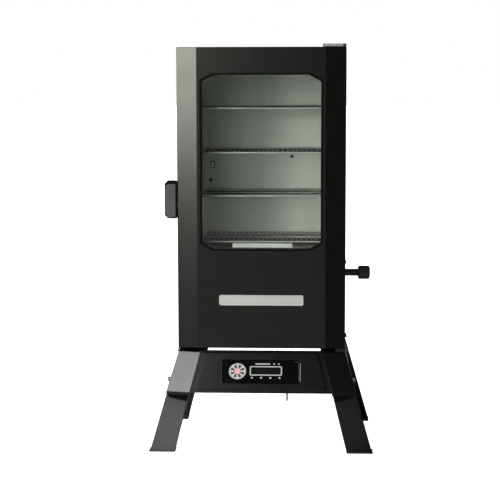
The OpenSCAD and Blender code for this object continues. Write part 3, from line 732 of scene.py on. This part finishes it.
def rear_cover():
    """Rear sheet with a pressed bead near its edge."""
    face = facing_back(span("side_panel_left")[1].y + SHEET)
    rim = [(0, -SHEET), (0, -0.4), (0.4, 0)]
    bead = [(19, 0), (21, -0.4), (23, -1.3), (29, -1.3), (31, -0.4), (33, 0)]
    under = [(i, w - SHEET) for i, w in reversed(bead)]
    plate = hoop(body_outline, rim + bead + [(120, 0), (120, -SHEET)] + under, face)
    middle = prism(body_outline(119.5), -SHEET, 0, face)
    return boolean(boolean(plate, middle, operation="UNION"), peg(7, CORD_XZ, -9, 9, face, 32))


def vent_grille():
    """Collar through the roof, its grille and the damper's pin."""
    face, (u, v) = facing_up(z_top), VENT_XY
    plate = pad(lambda i: circle(VENT_R + 8 - i, VENT_XY), 0, 1.5, 0.6, face)
    holes = [
        peg(9, (u + 17 * c, v + 17 * s), -4, 6, face, 40)
        for c, s in ((1, 0), (0, 1), (-1, 0), (0, -1))
    ]
    pin = turned([(3, -1), (3, 4.5), (2.5, 5), (0.5, 5)], VENT_XY, face, 32)
    deep = span("liner_top")[0].z - z_top
    collar = hoop(lambda r: circle(r, VENT_XY),
                  ((VENT_R, deep), (VENT_R, 0), (VENT_R - 1, 0), (VENT_R - 1, deep)), face)
    return joined(boolean(plate, *holes), pin, collar)


def chamber_liner():
    """Folded stainless lining of the chamber, with its holes."""
    lo, hi = span("liner_back")
    t, bend, y0 = 1.0, 6, span("liner_left")[0].y

    def loop(inset, y, r):
        return lift(fillet(front_rect(lo, hi, inset), r, 6), y, BACK)

    outside = [loop(0.2, hi.y, 11), loop(0, hi.y - 0.3, 11), loop(0, y0, 11)]
    inside = [loop(t + i, lo.y - bend + rise, 10) for i, rise in arc(bend)]
    shell = loft(outside + [loop(t, y0, 10)] + inside)
    drain = peg(6, DRAIN_AT, lo.z - 5, lo.z + 6, UP, 32)
    tube_hole = peg(TUBE_R, LOADER_YZ, hi.x - 10, hi.x + 10, RIGHT)
    vent = peg(VENT_R, VENT_XY, hi.z - 5, hi.z + 6, UP)
    return boolean(shell, drain, tube_hole, vent)


def sensors():
    """Dark block on the rear wall behind the probe's holder, showing round it as a painted shadow ring, with two
    blank plugs; and the probe's holder.
    """
    face = facing_front(span("wall_sensors")[1].y)

    def block(w, h, w0, w1):
        return pad(lambda i: fillet(mid_rect(*PROBE_AT, w, h, i), 1.6, 4), w0, w1, 0.7, face)

    plugs = [
        turned([(5, 0), (5, d - 1), (4.6, d - 0.4), (3.8, d), (0.5, d)], plug, face, 32)
        for plug, d in PLUGS
    ]
    probe = turned([(2.9, 9), (2.9, 43), (2.4, 45), (1.2, 46), (0.2, 46)], PROBE_AT, face, 24)
    return joined(block(15, 22, 0, 4), *plugs), joined(block(10.5, 17, 3.5, 10), probe)


stand_in("cabinet_wrap", cabinet_wrap(), "side_panel_left", "side_panel_right", "top_panel")
stand_in("face_frame", face_frame(), "front_frame")
stand_in("rear_cover", rear_cover(), "back_panel")
extra("vent_grille", vent_grille(), "top_panel", look="damper_paint")
refined_piece("bottom_panel", edge=0.4)
stand_in("chamber_liner", chamber_liner(),
         "liner_left", "liner_right", "liner_top", "liner_floor", "liner_back")
for node in ("rack_ladder_left", "rack_ladder_right", "lower_shelf", "loader_housing",
             "foot_pads", "leg_bolts", "controller_housing", "latch_mount", "loader_collar"):
    refined_piece(node, edge=0.5)
# The dark block round the probe's holder is a painted shadow ring; the plugs are dark.
sensor_base, sensor_holder = sensors()
stand_in("sensor_base", sensor_base, "wall_sensors", look="matte_black")
extra("sensor_holder", sensor_holder, "wall_sensors", look="pale_plastic")

# ---- inside

ROD_R, WIRE_R, WIRES = 2.5, 1.5, 25
PAN_DRAIN = ((0, 60), 9)  # centre and radius
TRAY_SIDE = 51


def rack(node):
    """Wire rack: its bent frame rod, then two cross rods and the wires welded on top."""
    lo, hi = span(node)
    z, wire_z = lo.z + ROD_R, hi.z - WIRE_R
    x, y0, y1 = hi.x - ROD_R, lo.y + ROD_R, hi.y - ROD_R
    around = [(u, v, z) for u, v in fillet(rect(-x, y0, x, y1), 12, 6)]
    cross = [y0 + (y1 - y0) * k / 3 for k in (1, 2)]
    across = [-x + 10 + (2 * x - 20) * i / (WIRES - 1) for i in range(WIRES)]
    parts = [tube([(-x + 1, y, z), (x - 1, y, z)], ROD_R, sides=16) for y in cross]
    parts += [
        tube([(u, y, wire_z) for y in (y0, (y0 + y1) / 2, y1)], WIRE_R, sides=10)
        for u in across
    ]
    return tube(around, ROD_R, closed=True, sides=16), joined(*parts)


def pan(x0, y0, x1, y1, z0, z1, rim=(0, 0), corner=8, hole=None):
    """Pressed pan with a flat rim of (x, y) width. hole is its drain's centre and radius."""
    t = 1.0
    bend = min(5, (z1 - z0) / 3)
    rx, ry = rim
    wide = corner + min(rx, ry)

    def loop(grow_x, grow_y, r, z):
        return lift(fillet(rect(x0 - grow_x, y0 - grow_y, x1 + grow_x, y1 + grow_y), r, 5), z, UP)

    outside = [loop(-i, -i, corner, z0 + bend - rise) for i, rise in reversed(arc(bend))]
    inside = [loop(-t - i, -t - i, corner, z0 + t + bend - rise) for i, rise in arc(bend)]
    edge = [
        loop(0, 0, corner, z1 - t), loop(rx, ry, wide, z1 - t), loop(rx, ry, wide, z1 - 0.3),
        loop(rx - 0.3, ry - 0.3, wide, z1), loop(-0.4, -0.4, corner, z1),
        loop(-t, -t, corner, z1 - 0.6),
    ]
    loops = outside + edge + inside
    if not hole:
        return loft(loops)
    at, r = Vector(hole[0]), hole[1]

    def drain(z):
        spokes = [(Vector(p[:2]) - at).normalized() for p in loop(-t, -t, corner, z)]
        return [(*(at + spoke * r), z) for spoke in spokes]

    return loft([drain(z0)] + loops + [drain(z0 + t)], ring=True)


def drip_pan():
    """The basin and its pull tab."""
    lo, hi = span("drip_pan")
    basin = pan(lo.x + 2, lo.y + 3.2, hi.x - 2, hi.y - 2, lo.z, lo.z + 14, rim=(2, 2),
                hole=PAN_DRAIN)

    def outline(i):
        return fillet(rect(-92.5 + i, lo.z + 4 + i, 92.5 - i, hi.z - i), [2, 2, 4.4, 4.4], 6)

    return basin, pad(outline, -1.2, 0.6, 0.5, facing_front(lo.y + 0.6))


def bowl():
    lo, hi = span("water_bowl")
    at = ((lo.x + hi.x) / 2, (lo.y + hi.y) / 2)
    r, z0, z1 = (hi.x - lo.x) / 2, lo.z, hi.z
    return turned([
        (1, z0), (r - 40, z0), (r - 34, z0 + 1.2), (r - 29, z0 + 5), (r - 10, z1 - 3),
        (r - 8, z1 - 1), (r - 1, z1 - 1), (r, z1 - 0.6), (r, z1 - 0.3), (r - 0.6, z1),
        (r - 8.4, z1), (r - 10.2, z1 - 1), (r - 30, z0 + 5.4), (r - 35, z0 + 2.2),
        (r - 40.6, z0 + 1), (1, z0 + 1),
    ], at, UP, 96)


def chip_pan():
    lo, hi = span("chip_tray")
    return pan(lo.x + 8, lo.y + 8, hi.x - 8, hi.y - 8, lo.z, hi.z, rim=(8, 8))


def element():
    """Bent heating rod on its mounting plate."""
    lo, hi = span("heating_element")
    r, bend = 4, 30
    x0, x1, y1, z = lo.x + 20, hi.x - 20, hi.y - 2, lo.z + 14
    face, middle, tip = facing_front(y1), (x0 + x1) / 2, lo.y + r + bend
    turn = [pi * k / 16 for k in range(17)]
    path = [(middle - bend * cos(a), tip - bend * sin(a), z) for a in turn]
    plate = pad(lambda i: fillet(front_rect(lo, hi, i), 5, 5), -2, 0, 0.5, face)
    glands = [turned([(8, 0), (8, 4), (6.5, 6), (4.2, 6)], (x, z), face, 24) for x in (x0, x1)]
    rod = tube([(x0, y1, z)] + path + [(x1, y1, z)], r, sides=20)
    return joined(rod, plate, *glands)


def grease_drawer():
    """Shallow tray with an upright lip to pull it by."""
    lo, hi = span("grease_tray")

    def outline(i):
        return fillet(rect(-25 + i, lo.z + 4 + i, 25 - i, hi.z - i), 5)

    tray = pan(-TRAY_SIDE, lo.y, TRAY_SIDE, hi.y - 2, lo.z, hi.z, rim=(hi.x - TRAY_SIDE, 0),
               corner=5)
    return joined(tray, pad(outline, -1, 1.4, 0.6, facing_back(hi.y - 1.4)))


# The rack frames take a lighter copy of the rack steel and the wires a darkened one: painted highlight and painted
# shade.
for node in ("rack_1", "rack_2", "rack_3", "rack_4"):
    rod, wires = rack(node)
    stand_in(node + "_frame", rod, node, look="rod_plate")
    extra(node + "_wires", wires, node)
basin, tab = drip_pan()
stand_in("drip_tray", basin, "drip_pan", look="pan_enamel")
extra("drip_tray_tab", tab, "drip_pan", look="tab_steel")
stand_in("water_dish", bowl(), "water_bowl")
stand_in("chip_pan", chip_pan(), "chip_tray")
stand_in("heater_rod", element(), "heating_element")
stand_in("grease_drawer_tray", grease_drawer(), "grease_tray")

# ---- loader


def scoop():
    """Half-round trough on its spindle."""
    y, z = LOADER_YZ
    r, t, steps = 25, 1.2, 28
    x0, x1 = span("chip_scoop")[0].x, span("loader_collar")[0].x - 2

    def half_disc(radius):
        angles = [-pi * k / steps for k in range(steps + 1)]
        return [(y + radius * cos(a), z + radius * sin(a)) for a in angles][::-1]

    above = [(y + r - t, z + 6), (y - r + t, z + 6)]
    outer = prism(half_disc(r), x0, x1, RIGHT)
    inner = prism(half_disc(r - t) + above, x0 + t, x1 - t, RIGHT)
    spindle = turned([(10, x1 - 1), (10, x1 - 0.2), (9.6, x1), (6, x1 + 0.3), (6, half_w + 4)],
                     LOADER_YZ, RIGHT, 40)
    return joined(eased(boolean(outer, inner), 0.3), spindle)


def knob():
    """Black stem and fluted knob."""
    x = span("chip_scoop")[1].x + 4
    profile = [
        (5, half_w + 2.5), (11.2, half_w + 2.6), (11.2, x - 40), (12, x - 38.6), (17.4, x - 38),
        (19.6, x - 37.2), (21, x - 35.8), (21.4, x - 33.6), (21.4, x - 28), (21.4, x - 22),
        (21.4, x - 16), (21.4, x - 8), (20.8, x - 4.6), (19.4, x - 2.6), (17.4, x - 1.2),
        (14.5, x - 0.4), (11, x), (8.5, x - 0.3), (7.6, x - 0.9), (2, x - 0.9),
    ]
    return turned(profile, LOADER_YZ, RIGHT, 96, (16, 0.9, x - 34, x - 7))


stand_in("scoop_trough", scoop(), "chip_scoop")
piece("loader_knob", knob(), BODY_OF["chip_scoop"], "matte_black")

# ---- latch, hinges, screws

WEB = (-274, -117, -259.5, -108)  # what joins the lever to its pivot, seen from above
latch_lo, latch_hi = span("latch_lever")


def latch_outline(x0, z0, right, z1, c, radius, notch=()):
    """The lever's outline: two cut corners, and perhaps a notch in its right side."""
    return fillet([(x0 + c, z0), (right, z0), *notch, (right, z1), (x0 + c, z1), (x0, z1 - c),
                   (x0, z0 + c)], radius, 4)


def latch_plate():
    """Dark back plate of the lever, notched round the door's keeper, and its web."""

    def outline(i):
        right = -half_w - 0.9 - i
        deep, low, high = right - 6, KEEPER[0] - 2, KEEPER[1] + 2
        notch = ((right, low), (deep, low), (deep, high), (right, high))
        return latch_outline(latch_lo.x + i, latch_lo.z + i, right, latch_hi.z - i,
                             10 - i * 0.4, 0.8, notch)

    steps = ((0.2, -0.5), (0, 0), (0, 0.7), (0.2, 0.9), (0.5, 1))
    plate = loft(stack(outline, steps, facing_front(latch_lo.y)))
    web = prism(rect(*WEB), latch_lo.z - 2, latch_hi.z - 7, UP)
    return joined(plate, eased(web, 0.8))


def latch_face():
    """Pressed cover on the plate, its border sloping back."""

    def outline(i):
        return latch_outline(latch_lo.x + 2.5 + i, latch_lo.z + 3 + i, -half_w - 3.8 - i,
                             latch_hi.z - 11 - i, 8 - i * 0.4, 1.2)

    steps = ((0, 0.9), (0, 1.2), (0.8, 2.6), (1.6, 3.2), (2.6, 3.4))
    return loft(stack(outline, steps, facing_front(latch_lo.y)))


def hinge_bracket(upper):
    """The top or the bottom one of the two hinge brackets."""
    bm = refined("hinge_brackets", 1.6, 0.5)
    middle = (z_low + z_top) / 2 * MM
    others = [v for v in bm.verts if (v.co.z > middle) != upper]
    bmesh.ops.delete(bm, geom=others, context="VERTS")
    below_cap = span("hinge_brackets")[1].z - 0.15
    for v in bm.verts:
        v.co.z = min(v.co.z, below_cap * MM)
    return bm


def pin_cap():
    """Black cap over the end of the top hinge bracket."""
    hi, y = span("hinge_brackets")[1], hinge_at.y

    def outline(i):
        return fillet(rect(hi.x - 11 + i, y - 14.8 + i, hi.x + 0.4 - i, y + 12 - i), 3)

    return pad(outline, z_top + 1.2, hi.z, 1.6, UP)


def islands(bm):
    """The vertices of each separate solid, in an order that is the same each run."""
    left = dict.fromkeys(bm.verts)
    while left:
        island, grown = [], [left.popitem()[0]]
        while grown:
            v = grown.pop()
            island.append(v)
            for e in v.link_edges:
                other = e.other_vert(v)
                if other in left:
                    del left[other]
                    grown.append(other)
        yield island


def screws():
    """Pan-head screws with a cross recess, where the CAD has them."""
    bm = bmesh.new()
    bm.from_mesh(NODES["cabinet_screws"].data)
    bmesh.ops.remove_doubles(bm, verts=bm.verts, dist=WELD)
    parts = []
    for island in islands(bm):
        lo, hi = (Vector([end(v.co[k] for v in island) for k in range(3)]) / MM
                  for end in (min, max))
        mid = (lo + hi) / 2
        rear = hi.y - lo.y < hi.z - lo.z
        u, v = (mid.x, mid.z) if rear else (mid.x, mid.y)
        place = facing_back(lo.y) if rear else facing_up(lo.z)
        profile = [(4, 0), (4, 0.7), (3.6, 1.4), (2.6, 1.85), (1.2, 2), (0.4, 2)]
        slots = [
            prism(rect(u - a, v - b, u + a, v + b), 0.9, 4, place)
            for a, b in ((2.1, 0.45), (0.45, 2.1))
        ]
        parts.append(boolean(turned(profile, (u, v), place, 24), *slots))
    bm.free()
    return joined(*parts)


def cord_grommet():
    face = facing_back(gland_hi.y - 5)
    profile = [(4, -7.5), (7, -7.5), (7, 0), (12, 0), (12, 2.5), (11, 3.4), (8, 4.4), (6.4, 5),
               (4.4, 5), (4, 4.6)]
    return boolean(turned(profile, CORD_XZ, face, 48), peg(4, CORD_XZ, -12, 8, face, 32))


refined_piece("latch_lever", edge=0.8, look="matte_black")
extra("latch_back", latch_plate(), "latch_lever", look="bead_rubber")
extra("latch_cover", latch_face(), "latch_lever")
stand_in("hinge_bracket_top", hinge_bracket(True), "hinge_brackets")
extra("hinge_bracket_low", hinge_bracket(False), "hinge_brackets", look="stand_paint")
piece("hinge_cap", pin_cap(), "cabinet", "matte_black")
stand_in("screw_heads", screws(), "cabinet_screws")
refined_piece("vent_damper", edge=0.4)
stand_in("cord_grommet", cord_grommet(), "cord_gland")

# ---- stand


def lip_shadow_sheet(side):
    """Near-black sheet on the leg's leaning face under the front bracket's lip: painted shadow of the lip."""
    leg, top = bmesh.new(), span("front_bracket_" + side)[0].z - 0.4
    leg.from_mesh(NODES["leg_front_" + side].data)
    tree = BVHTree.FromBMesh(leg)
    leg.free()
    way = 1 if side == "left" else -1

    def face_y(x, z):
        """Where the leg's front face is, if there is one here."""
        at = tree.ray_cast(Vector((x, -400, z)) * MM, Vector((0, 1, 0)))[0]
        return at.y / MM if at and at.y / MM < -200 else None

    on_leg = [x for x in range(-340, 341) if face_y(x, top) is not None]
    outer, inner = (min(on_leg), max(on_leg))[::way]
    corners = [(outer + 2.5 * way, top), (inner - 1.5 * way, top), (inner - 7 * way, top - 23),
               (outer + 8 * way, top - 11)]
    middle = sum(x for x, _ in corners) / 4
    outline = fillet(corners[::way], 1.5, 4)
    return loft([
        [(x, face_y(middle, z) - proud, z) for x, z in outline] for proud in (0.05, 0.9)
    ])


for part in ("base_rail", "front_bracket", "leg_front", "leg_rear"):
    for side in ("left", "right"):
        refined_piece(part + "_" + side, fold=2.0, edge=0.6)
# Each front leg gets a near-black sheet just under its bracket's lip: painted shadow of the lip.
for side in ("left", "right"):
    piece("knee_packing_" + side, lip_shadow_sheet(side), "cabinet", "seal_rubber",
          look="bead_rubber")

# ---- controls

# Each is a centre and a size, in the sloping panel's own frame.
FASCIA = (-1, -65.5, 240, 78)
DISPLAY = (15, -62, 98, 31)
RECESS = 6  # depth of the controller's well in the panel
SLOPE_LEN = 134.27
TOP_X = 187.1  # half the width of the panel's upper edge
TOP_RISE = 7
RAISED = 3.6  # height of the panel's middle
FLANGE_X, FLANGE_Z = 213, 185

panel_lo, panel_hi = span("control_panel")


def slope_rect(box, inset=0.0, r=5.0, steps=6):
    return fillet(mid_rect(*box, inset), r, steps)


def panel_pressing():
    """Sloping panel with a raised middle and an opening for the controller."""
    t = 2

    def outer(side, end, r, w):
        low, top = panel_hi.x - side, TOP_X - side
        corners = [(-low, -SLOPE_LEN + end), (low, -SLOPE_LEN + end), (top, TOP_RISE - end),
                   (-top, TOP_RISE - end)]
        return lift(fillet(corners, r, 7), w, on_slope)

    front = [
        (0, 0, 1, -0.3), (0.3, 0.3, 1, 0), (13.2, 7.2, 12, 0), (14.2, 8.2, 11.4, 0.4),
        (15.6, 9.6, 10.6, 2.2), (16.8, 10.8, 10, RAISED - 0.4), (18.2, 12.2, 9, RAISED),
    ]
    lip = [
        (1.6, RAISED), (0.8, RAISED - 0.2), (0.5, RAISED - 0.8), (0.3, 0.2 - RECESS - t),
        (2, 0.2 - RECESS - t), (2, RAISED - t),
    ]
    back = [
        (17, 11, 9.8, RAISED - t), (15, 9, 11, -t + 0.6), (13.2, 7.2, 12.2, -t),
        (3, 0.3, 1, -t - 0.9), (-2, 0.3, 1, -t - 0.9), (-2.3, 0, 1, -t - 0.6),
        (-2.3, 0, 1, -t - 0.2), (0, 0, 1, -t - 0.1),
    ]
    return loft(
        [outer(*step) for step in front]
        + stack(lambda grow: slope_rect(FASCIA, -grow, 9.5, 7), lip, on_slope)
        + [outer(*step) for step in back], ring=True)


def flange():
    """The panel's lower edge, turned back."""
    y, z = panel_lo.y, FLANGE_Z
    corners = [(y + 1, z), (y + 22, z), (y + 22, z + 2), (y + 2.4, z + 2)]
    return prism(fillet(corners, [1.2, 0.5, 0.5, 0.8]), -FLANGE_X, FLANGE_X, RIGHT)


def fascia():
    rounded = [(i, -0.4 + rise) for i, rise in arc(1.4)]
    body = loft(stack(lambda i: slope_rect(FASCIA, i, 9 - i), [(0, -RECESS - 2)] + rounded,
                      on_slope))
    well = peg(28.4, DIAL_UV, -RECESS + 2, 5, on_slope)
    bore = peg(8.5, DIAL_UV, -RECESS - 6, 5, on_slope, 40)
    return boolean(body, well, bore, prism(slope_rect(DISPLAY), -0.5, 5, on_slope))


def display_outline():
    return loft([
        lift(slope_rect(DISPLAY, i, r), w, on_slope)
        for i, r, w in ((-0.2, 5.4, 0.9), (0, 5.2, 1.45), (3.4, 3.4, 1.45), (3.6, 3.2, 1.2))
    ], ring=True)


def fascia_marks():
    """Plain dots under and over the display, and a bar over it."""
    u, v, w, h = DISPLAY
    left, above = u - w / 2, v + h / 2 + 7.4
    outlines = [
        lambda i, k=k: circle(3.1 - i, (left + 7 + 28 * k, v - h / 2 - 7.2), 28) for k in range(4)
    ]
    outlines.append(lambda i: slope_rect((left + 39, above, 46, 4.2), i, 2))
    outlines += [lambda i, k=k: circle(2.6 - i, (left + k, above), 28) for k in (74, 88)]
    return joined(*[pad(outline, 0.9, 1.2, 0.12, on_slope) for outline in outlines])


def fascia_trim():
    """Thin lighter rod round the right end of the controller's face: painted highlight of the face's rounded edge.
    """
    u, v, w, h = FASCIA
    x, top, low, r = u + w / 2 - 3.4, v + h / 2 - 3.4, v - h / 2 + 3.4, 9
    angles = [pi / 2 * k / 8 for k in range(9)]
    turn = [(x - r + r * sin(a), top - r + r * cos(a)) for a in angles]
    path = [(x - r - 6, top)] + turn + [(x, low + 4)]
    return tube([on_slope(a, b, 0.9) for a, b in path], 0.9)


def dial_circle(r):
    return circle(r, DIAL_UV, 96)


def dial():
    """Dark skirt of the dial, with a sunk ring for its face."""
    low, top, r, bore = -3.6, 2.6, 28, 10.4
    return hoop(dial_circle, (
        (bore, low), (r - 0.4, low), (r, low + 0.4), (r, top - 1.6), (r - 0.5, top - 0.9),
        (r - 1.6, top - 0.5), (r - 2.2, top - 0.8), (bore + 0.6, top - 0.8), (bore, top - 1.1)),
        on_slope)


def dial_face():
    """Pale rim and eight pale spokes on the dial."""
    z = 1.8
    rim = hoop(dial_circle, (
        (25.6, z), (25.6, z + 0.6), (25.2, z + 1), (21.9, z + 1), (21.5, z + 0.6), (21.5, z)),
        on_slope)
    spokes = []
    for k in range(8):
        a = radians(45 * k)
        c, s = cos(a), sin(a)

        def spoke(i, c=c, s=s):
            corners = [(11 + i, -2 + i), (21.4 - i, -3.4 + i), (21.4 - i, 3.4 - i),
                       (11 + i, 2 - i)]
            return [(DIAL_UV[0] + p * c - q * s, DIAL_UV[1] + p * s + q * c)
                    for p, q in fillet(corners, 0.8, 3)]

        spokes.append(pad(spoke, z, z + 0.9, 0.35, on_slope))
    return joined(rim, *spokes)


def button():
    profile = [(9.6, -2.1), (10, -1.8), (10, 3), (9.7, 3.6), (9, 4), (7.6, 4.2), (6.8, 4.1),
               (6.2, 3.7), (5, 3.6), (0.6, 3.6)]
    return turned(profile, DIAL_UV, on_slope, 48)


def panel_rod():
    lo, hi = span("panel_peg")
    profile = [(1.2, lo.z), (2.2, lo.z + 0.3), (2.7, lo.z + 1.2), (2.7, hi.z)]
    return turned(profile, ((lo.x + hi.x) / 2, (lo.y + hi.y) / 2), UP, 28)


stand_in("panel_pressing", panel_pressing(), "control_panel")
extra("panel_flange", flange(), "control_panel")
stand_in("fascia_shell", fascia(), "controller_fascia")
pane = pad(lambda i: slope_rect(DISPLAY, 0.3 + i, 4.8 - i), -0.5, 1.3, 0.5, on_slope)
stand_in("display_pane", pane, "display_window")
extra("display_outline", display_outline(), "display_window", look="print_white")
extra("fascia_marks", fascia_marks(), "controller_fascia", look="print_white")
# Painted highlight: a lighter rod along the right edge of the controller's face.
extra("fascia_trim", fascia_trim(), "controller_fascia", look="latch_paint")
stand_in("dial_ring", dial(), "control_dial", look="matte_black")
extra("dial_face", dial_face(), "control_dial")
stand_in("power_cap", button(), "power_button")
stand_in("panel_rod", panel_rod(), "panel_peg")

# ---- what stays as in the CAD

for node, obj in NODES.items():
    if not obj.hide_render:
        dressed(obj, SLOTS[node])

# ---- studio

WARM = (1, 1, 0.9)


def disc(name, radius, at=(0, 0, 0)):
    bm = bmesh.new()
    bmesh.ops.create_circle(bm, cap_ends=True, radius=radius, segments=96)
    obj = holder(name, bm)
    obj.location = at
    obj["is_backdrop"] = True
    return obj


def glowing(name, strength):
    """Plain emission, for a card that lights the object's gloss only."""
    mat = bpy.data.materials.new(name)
    mat.use_nodes = True
    feed(mat.node_tree, mat.node_tree.nodes["Principled BSDF"], {
        "Base Color": (0, 0, 0, 1), "Specular IOR Level": 0,
        "Emission Color": (1, 1, 1, 1), "Emission Strength": strength,
    })
    return mat


def before_gloss(add, value):
    """value for rays that have met no gloss yet, and 0 after it."""
    depth = add("LightPath").outputs["Glossy Depth"]
    fresh = add("Math", {0: depth, 1: 0.5}, "LESS_THAN")
    return add("Math", {0: fresh.outputs[0], 1: value}, "MULTIPLY").outputs[0]


def ground():
    """Wide pale floor, almost white to the horizon, and the glow that gloss sees instead."""
    floor = disc("floor", 60)
    mat = finish_of("floor_finish", 0.88, 0.7, specular=0.1, mottle=0.01, mottle_size=300,
                    depth=0)
    add = node_maker(mat.node_tree)
    feed(mat.node_tree, mat.node_tree.nodes["Principled BSDF"], {
        "Emission Color": (1, 1, 1, 1), "Emission Strength": before_gloss(add, 0.95),
        "Base Color": before_gloss(add, 0.88),
    })
    floor.data.materials.append(mat)
    floor.visible_glossy = False
    for name, at, size, strength in (
        ("glow_front", (-2.6, -4.0, -0.002), (3.5, 6.5), 0.38),
        ("glow_right", (2.6, 1.4, -0.002), (1.8, 3.2), 0.3),
        ("glow_rear", (-0.4, 4.6, -0.003), (3, 3), 0.3),
    ):
        card = disc(name, 1, at)
        card.scale = (*size, 1)
        card.data.materials.append(glowing(name + "_light", strength))
        card.visible_camera = card.visible_diffuse = False
        card.visible_transmission = card.visible_shadow = False


def softbox(name, at, target, size, radiance, spread=180, tint=(1, 1, 1)):
    """Lamp turned to a point. spread is its beam in degrees."""
    lamp = bpy.data.lights.new(name, "AREA")
    lamp.shape, lamp.size, lamp.size_y = "RECTANGLE", *size
    lamp.energy = radiance * pi * size[0] * size[1]
    lamp.spread = radians(spread)
    lamp.color = tint
    obj = linked(name, lamp)
    obj.location = at
    aim = Vector(target) - Vector(at)
    obj.rotation_euler = aim.to_track_quat("-Z", "Y").to_euler()
    obj.visible_camera = False


def sky():
    """White to the eye, almost black in gloss."""
    world = bpy.data.worlds.new("studio")
    bpy.context.scene.world = world
    world.use_nodes = True
    world.node_tree.nodes.clear()
    add = node_maker(world.node_tree)
    seen = add("Background", {"Color": (1, 1, 1, 1)}).outputs[0]
    cast = add("Background", {"Color": (0.014, 0.014, 0.014, 1)}).outputs[0]
    mix = add("MixShader", {"Fac": before_gloss(add, 1), 1: cast, 2: seen})
    add("OutputWorld", {"Surface": mix.outputs[0]})


def camera():
    cam = bpy.data.cameras.new("camera")
    cam.sensor_width, cam.lens = 36, 105.7
    obj = linked("camera", cam)
    obj.location = (0.185, -4.584, 1.122)
    obj.rotation_euler = (radians(90 - 6.55), radians(0.11), radians(2.83))
    bpy.context.scene.camera = obj


ground()
softbox("key", (-1.46, -2.25, 1.75), (0, -0.18, 0.8), (0.8, 2.0), 14.3, tint=WARM)
softbox("overhead", (-1.14, -1.15, 2.1), (-0.24, -0.21, 0.24), (0.6, 0.9), 12)
softbox("corner", (-1.35, -5.5, 1.65), (-0.2, 0, 1.1), (0.8, 1.0), 3.3, tint=WARM)
softbox("leg_light", (-0.53, -2.6, 0.12), (-0.27, -0.23, 0.0), (0.3, 0.3), 0.2, 12)
softbox("rear_fill", (2.4, 2.6, 2.4), (0, 0, 0.7), (2, 2), 1.6)
softbox("side_fill", (-2.8, 1.6, 1.6), (0, 0, 0.7), (1.6, 2), 1.2)
sky()
camera()
bpy.context.scene.view_settings.view_transform = "Standard"

sizes = {"cad": cad_bounds, "visual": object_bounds()}
{k: [list(c) for c in v] for k, v in sizes.items()}
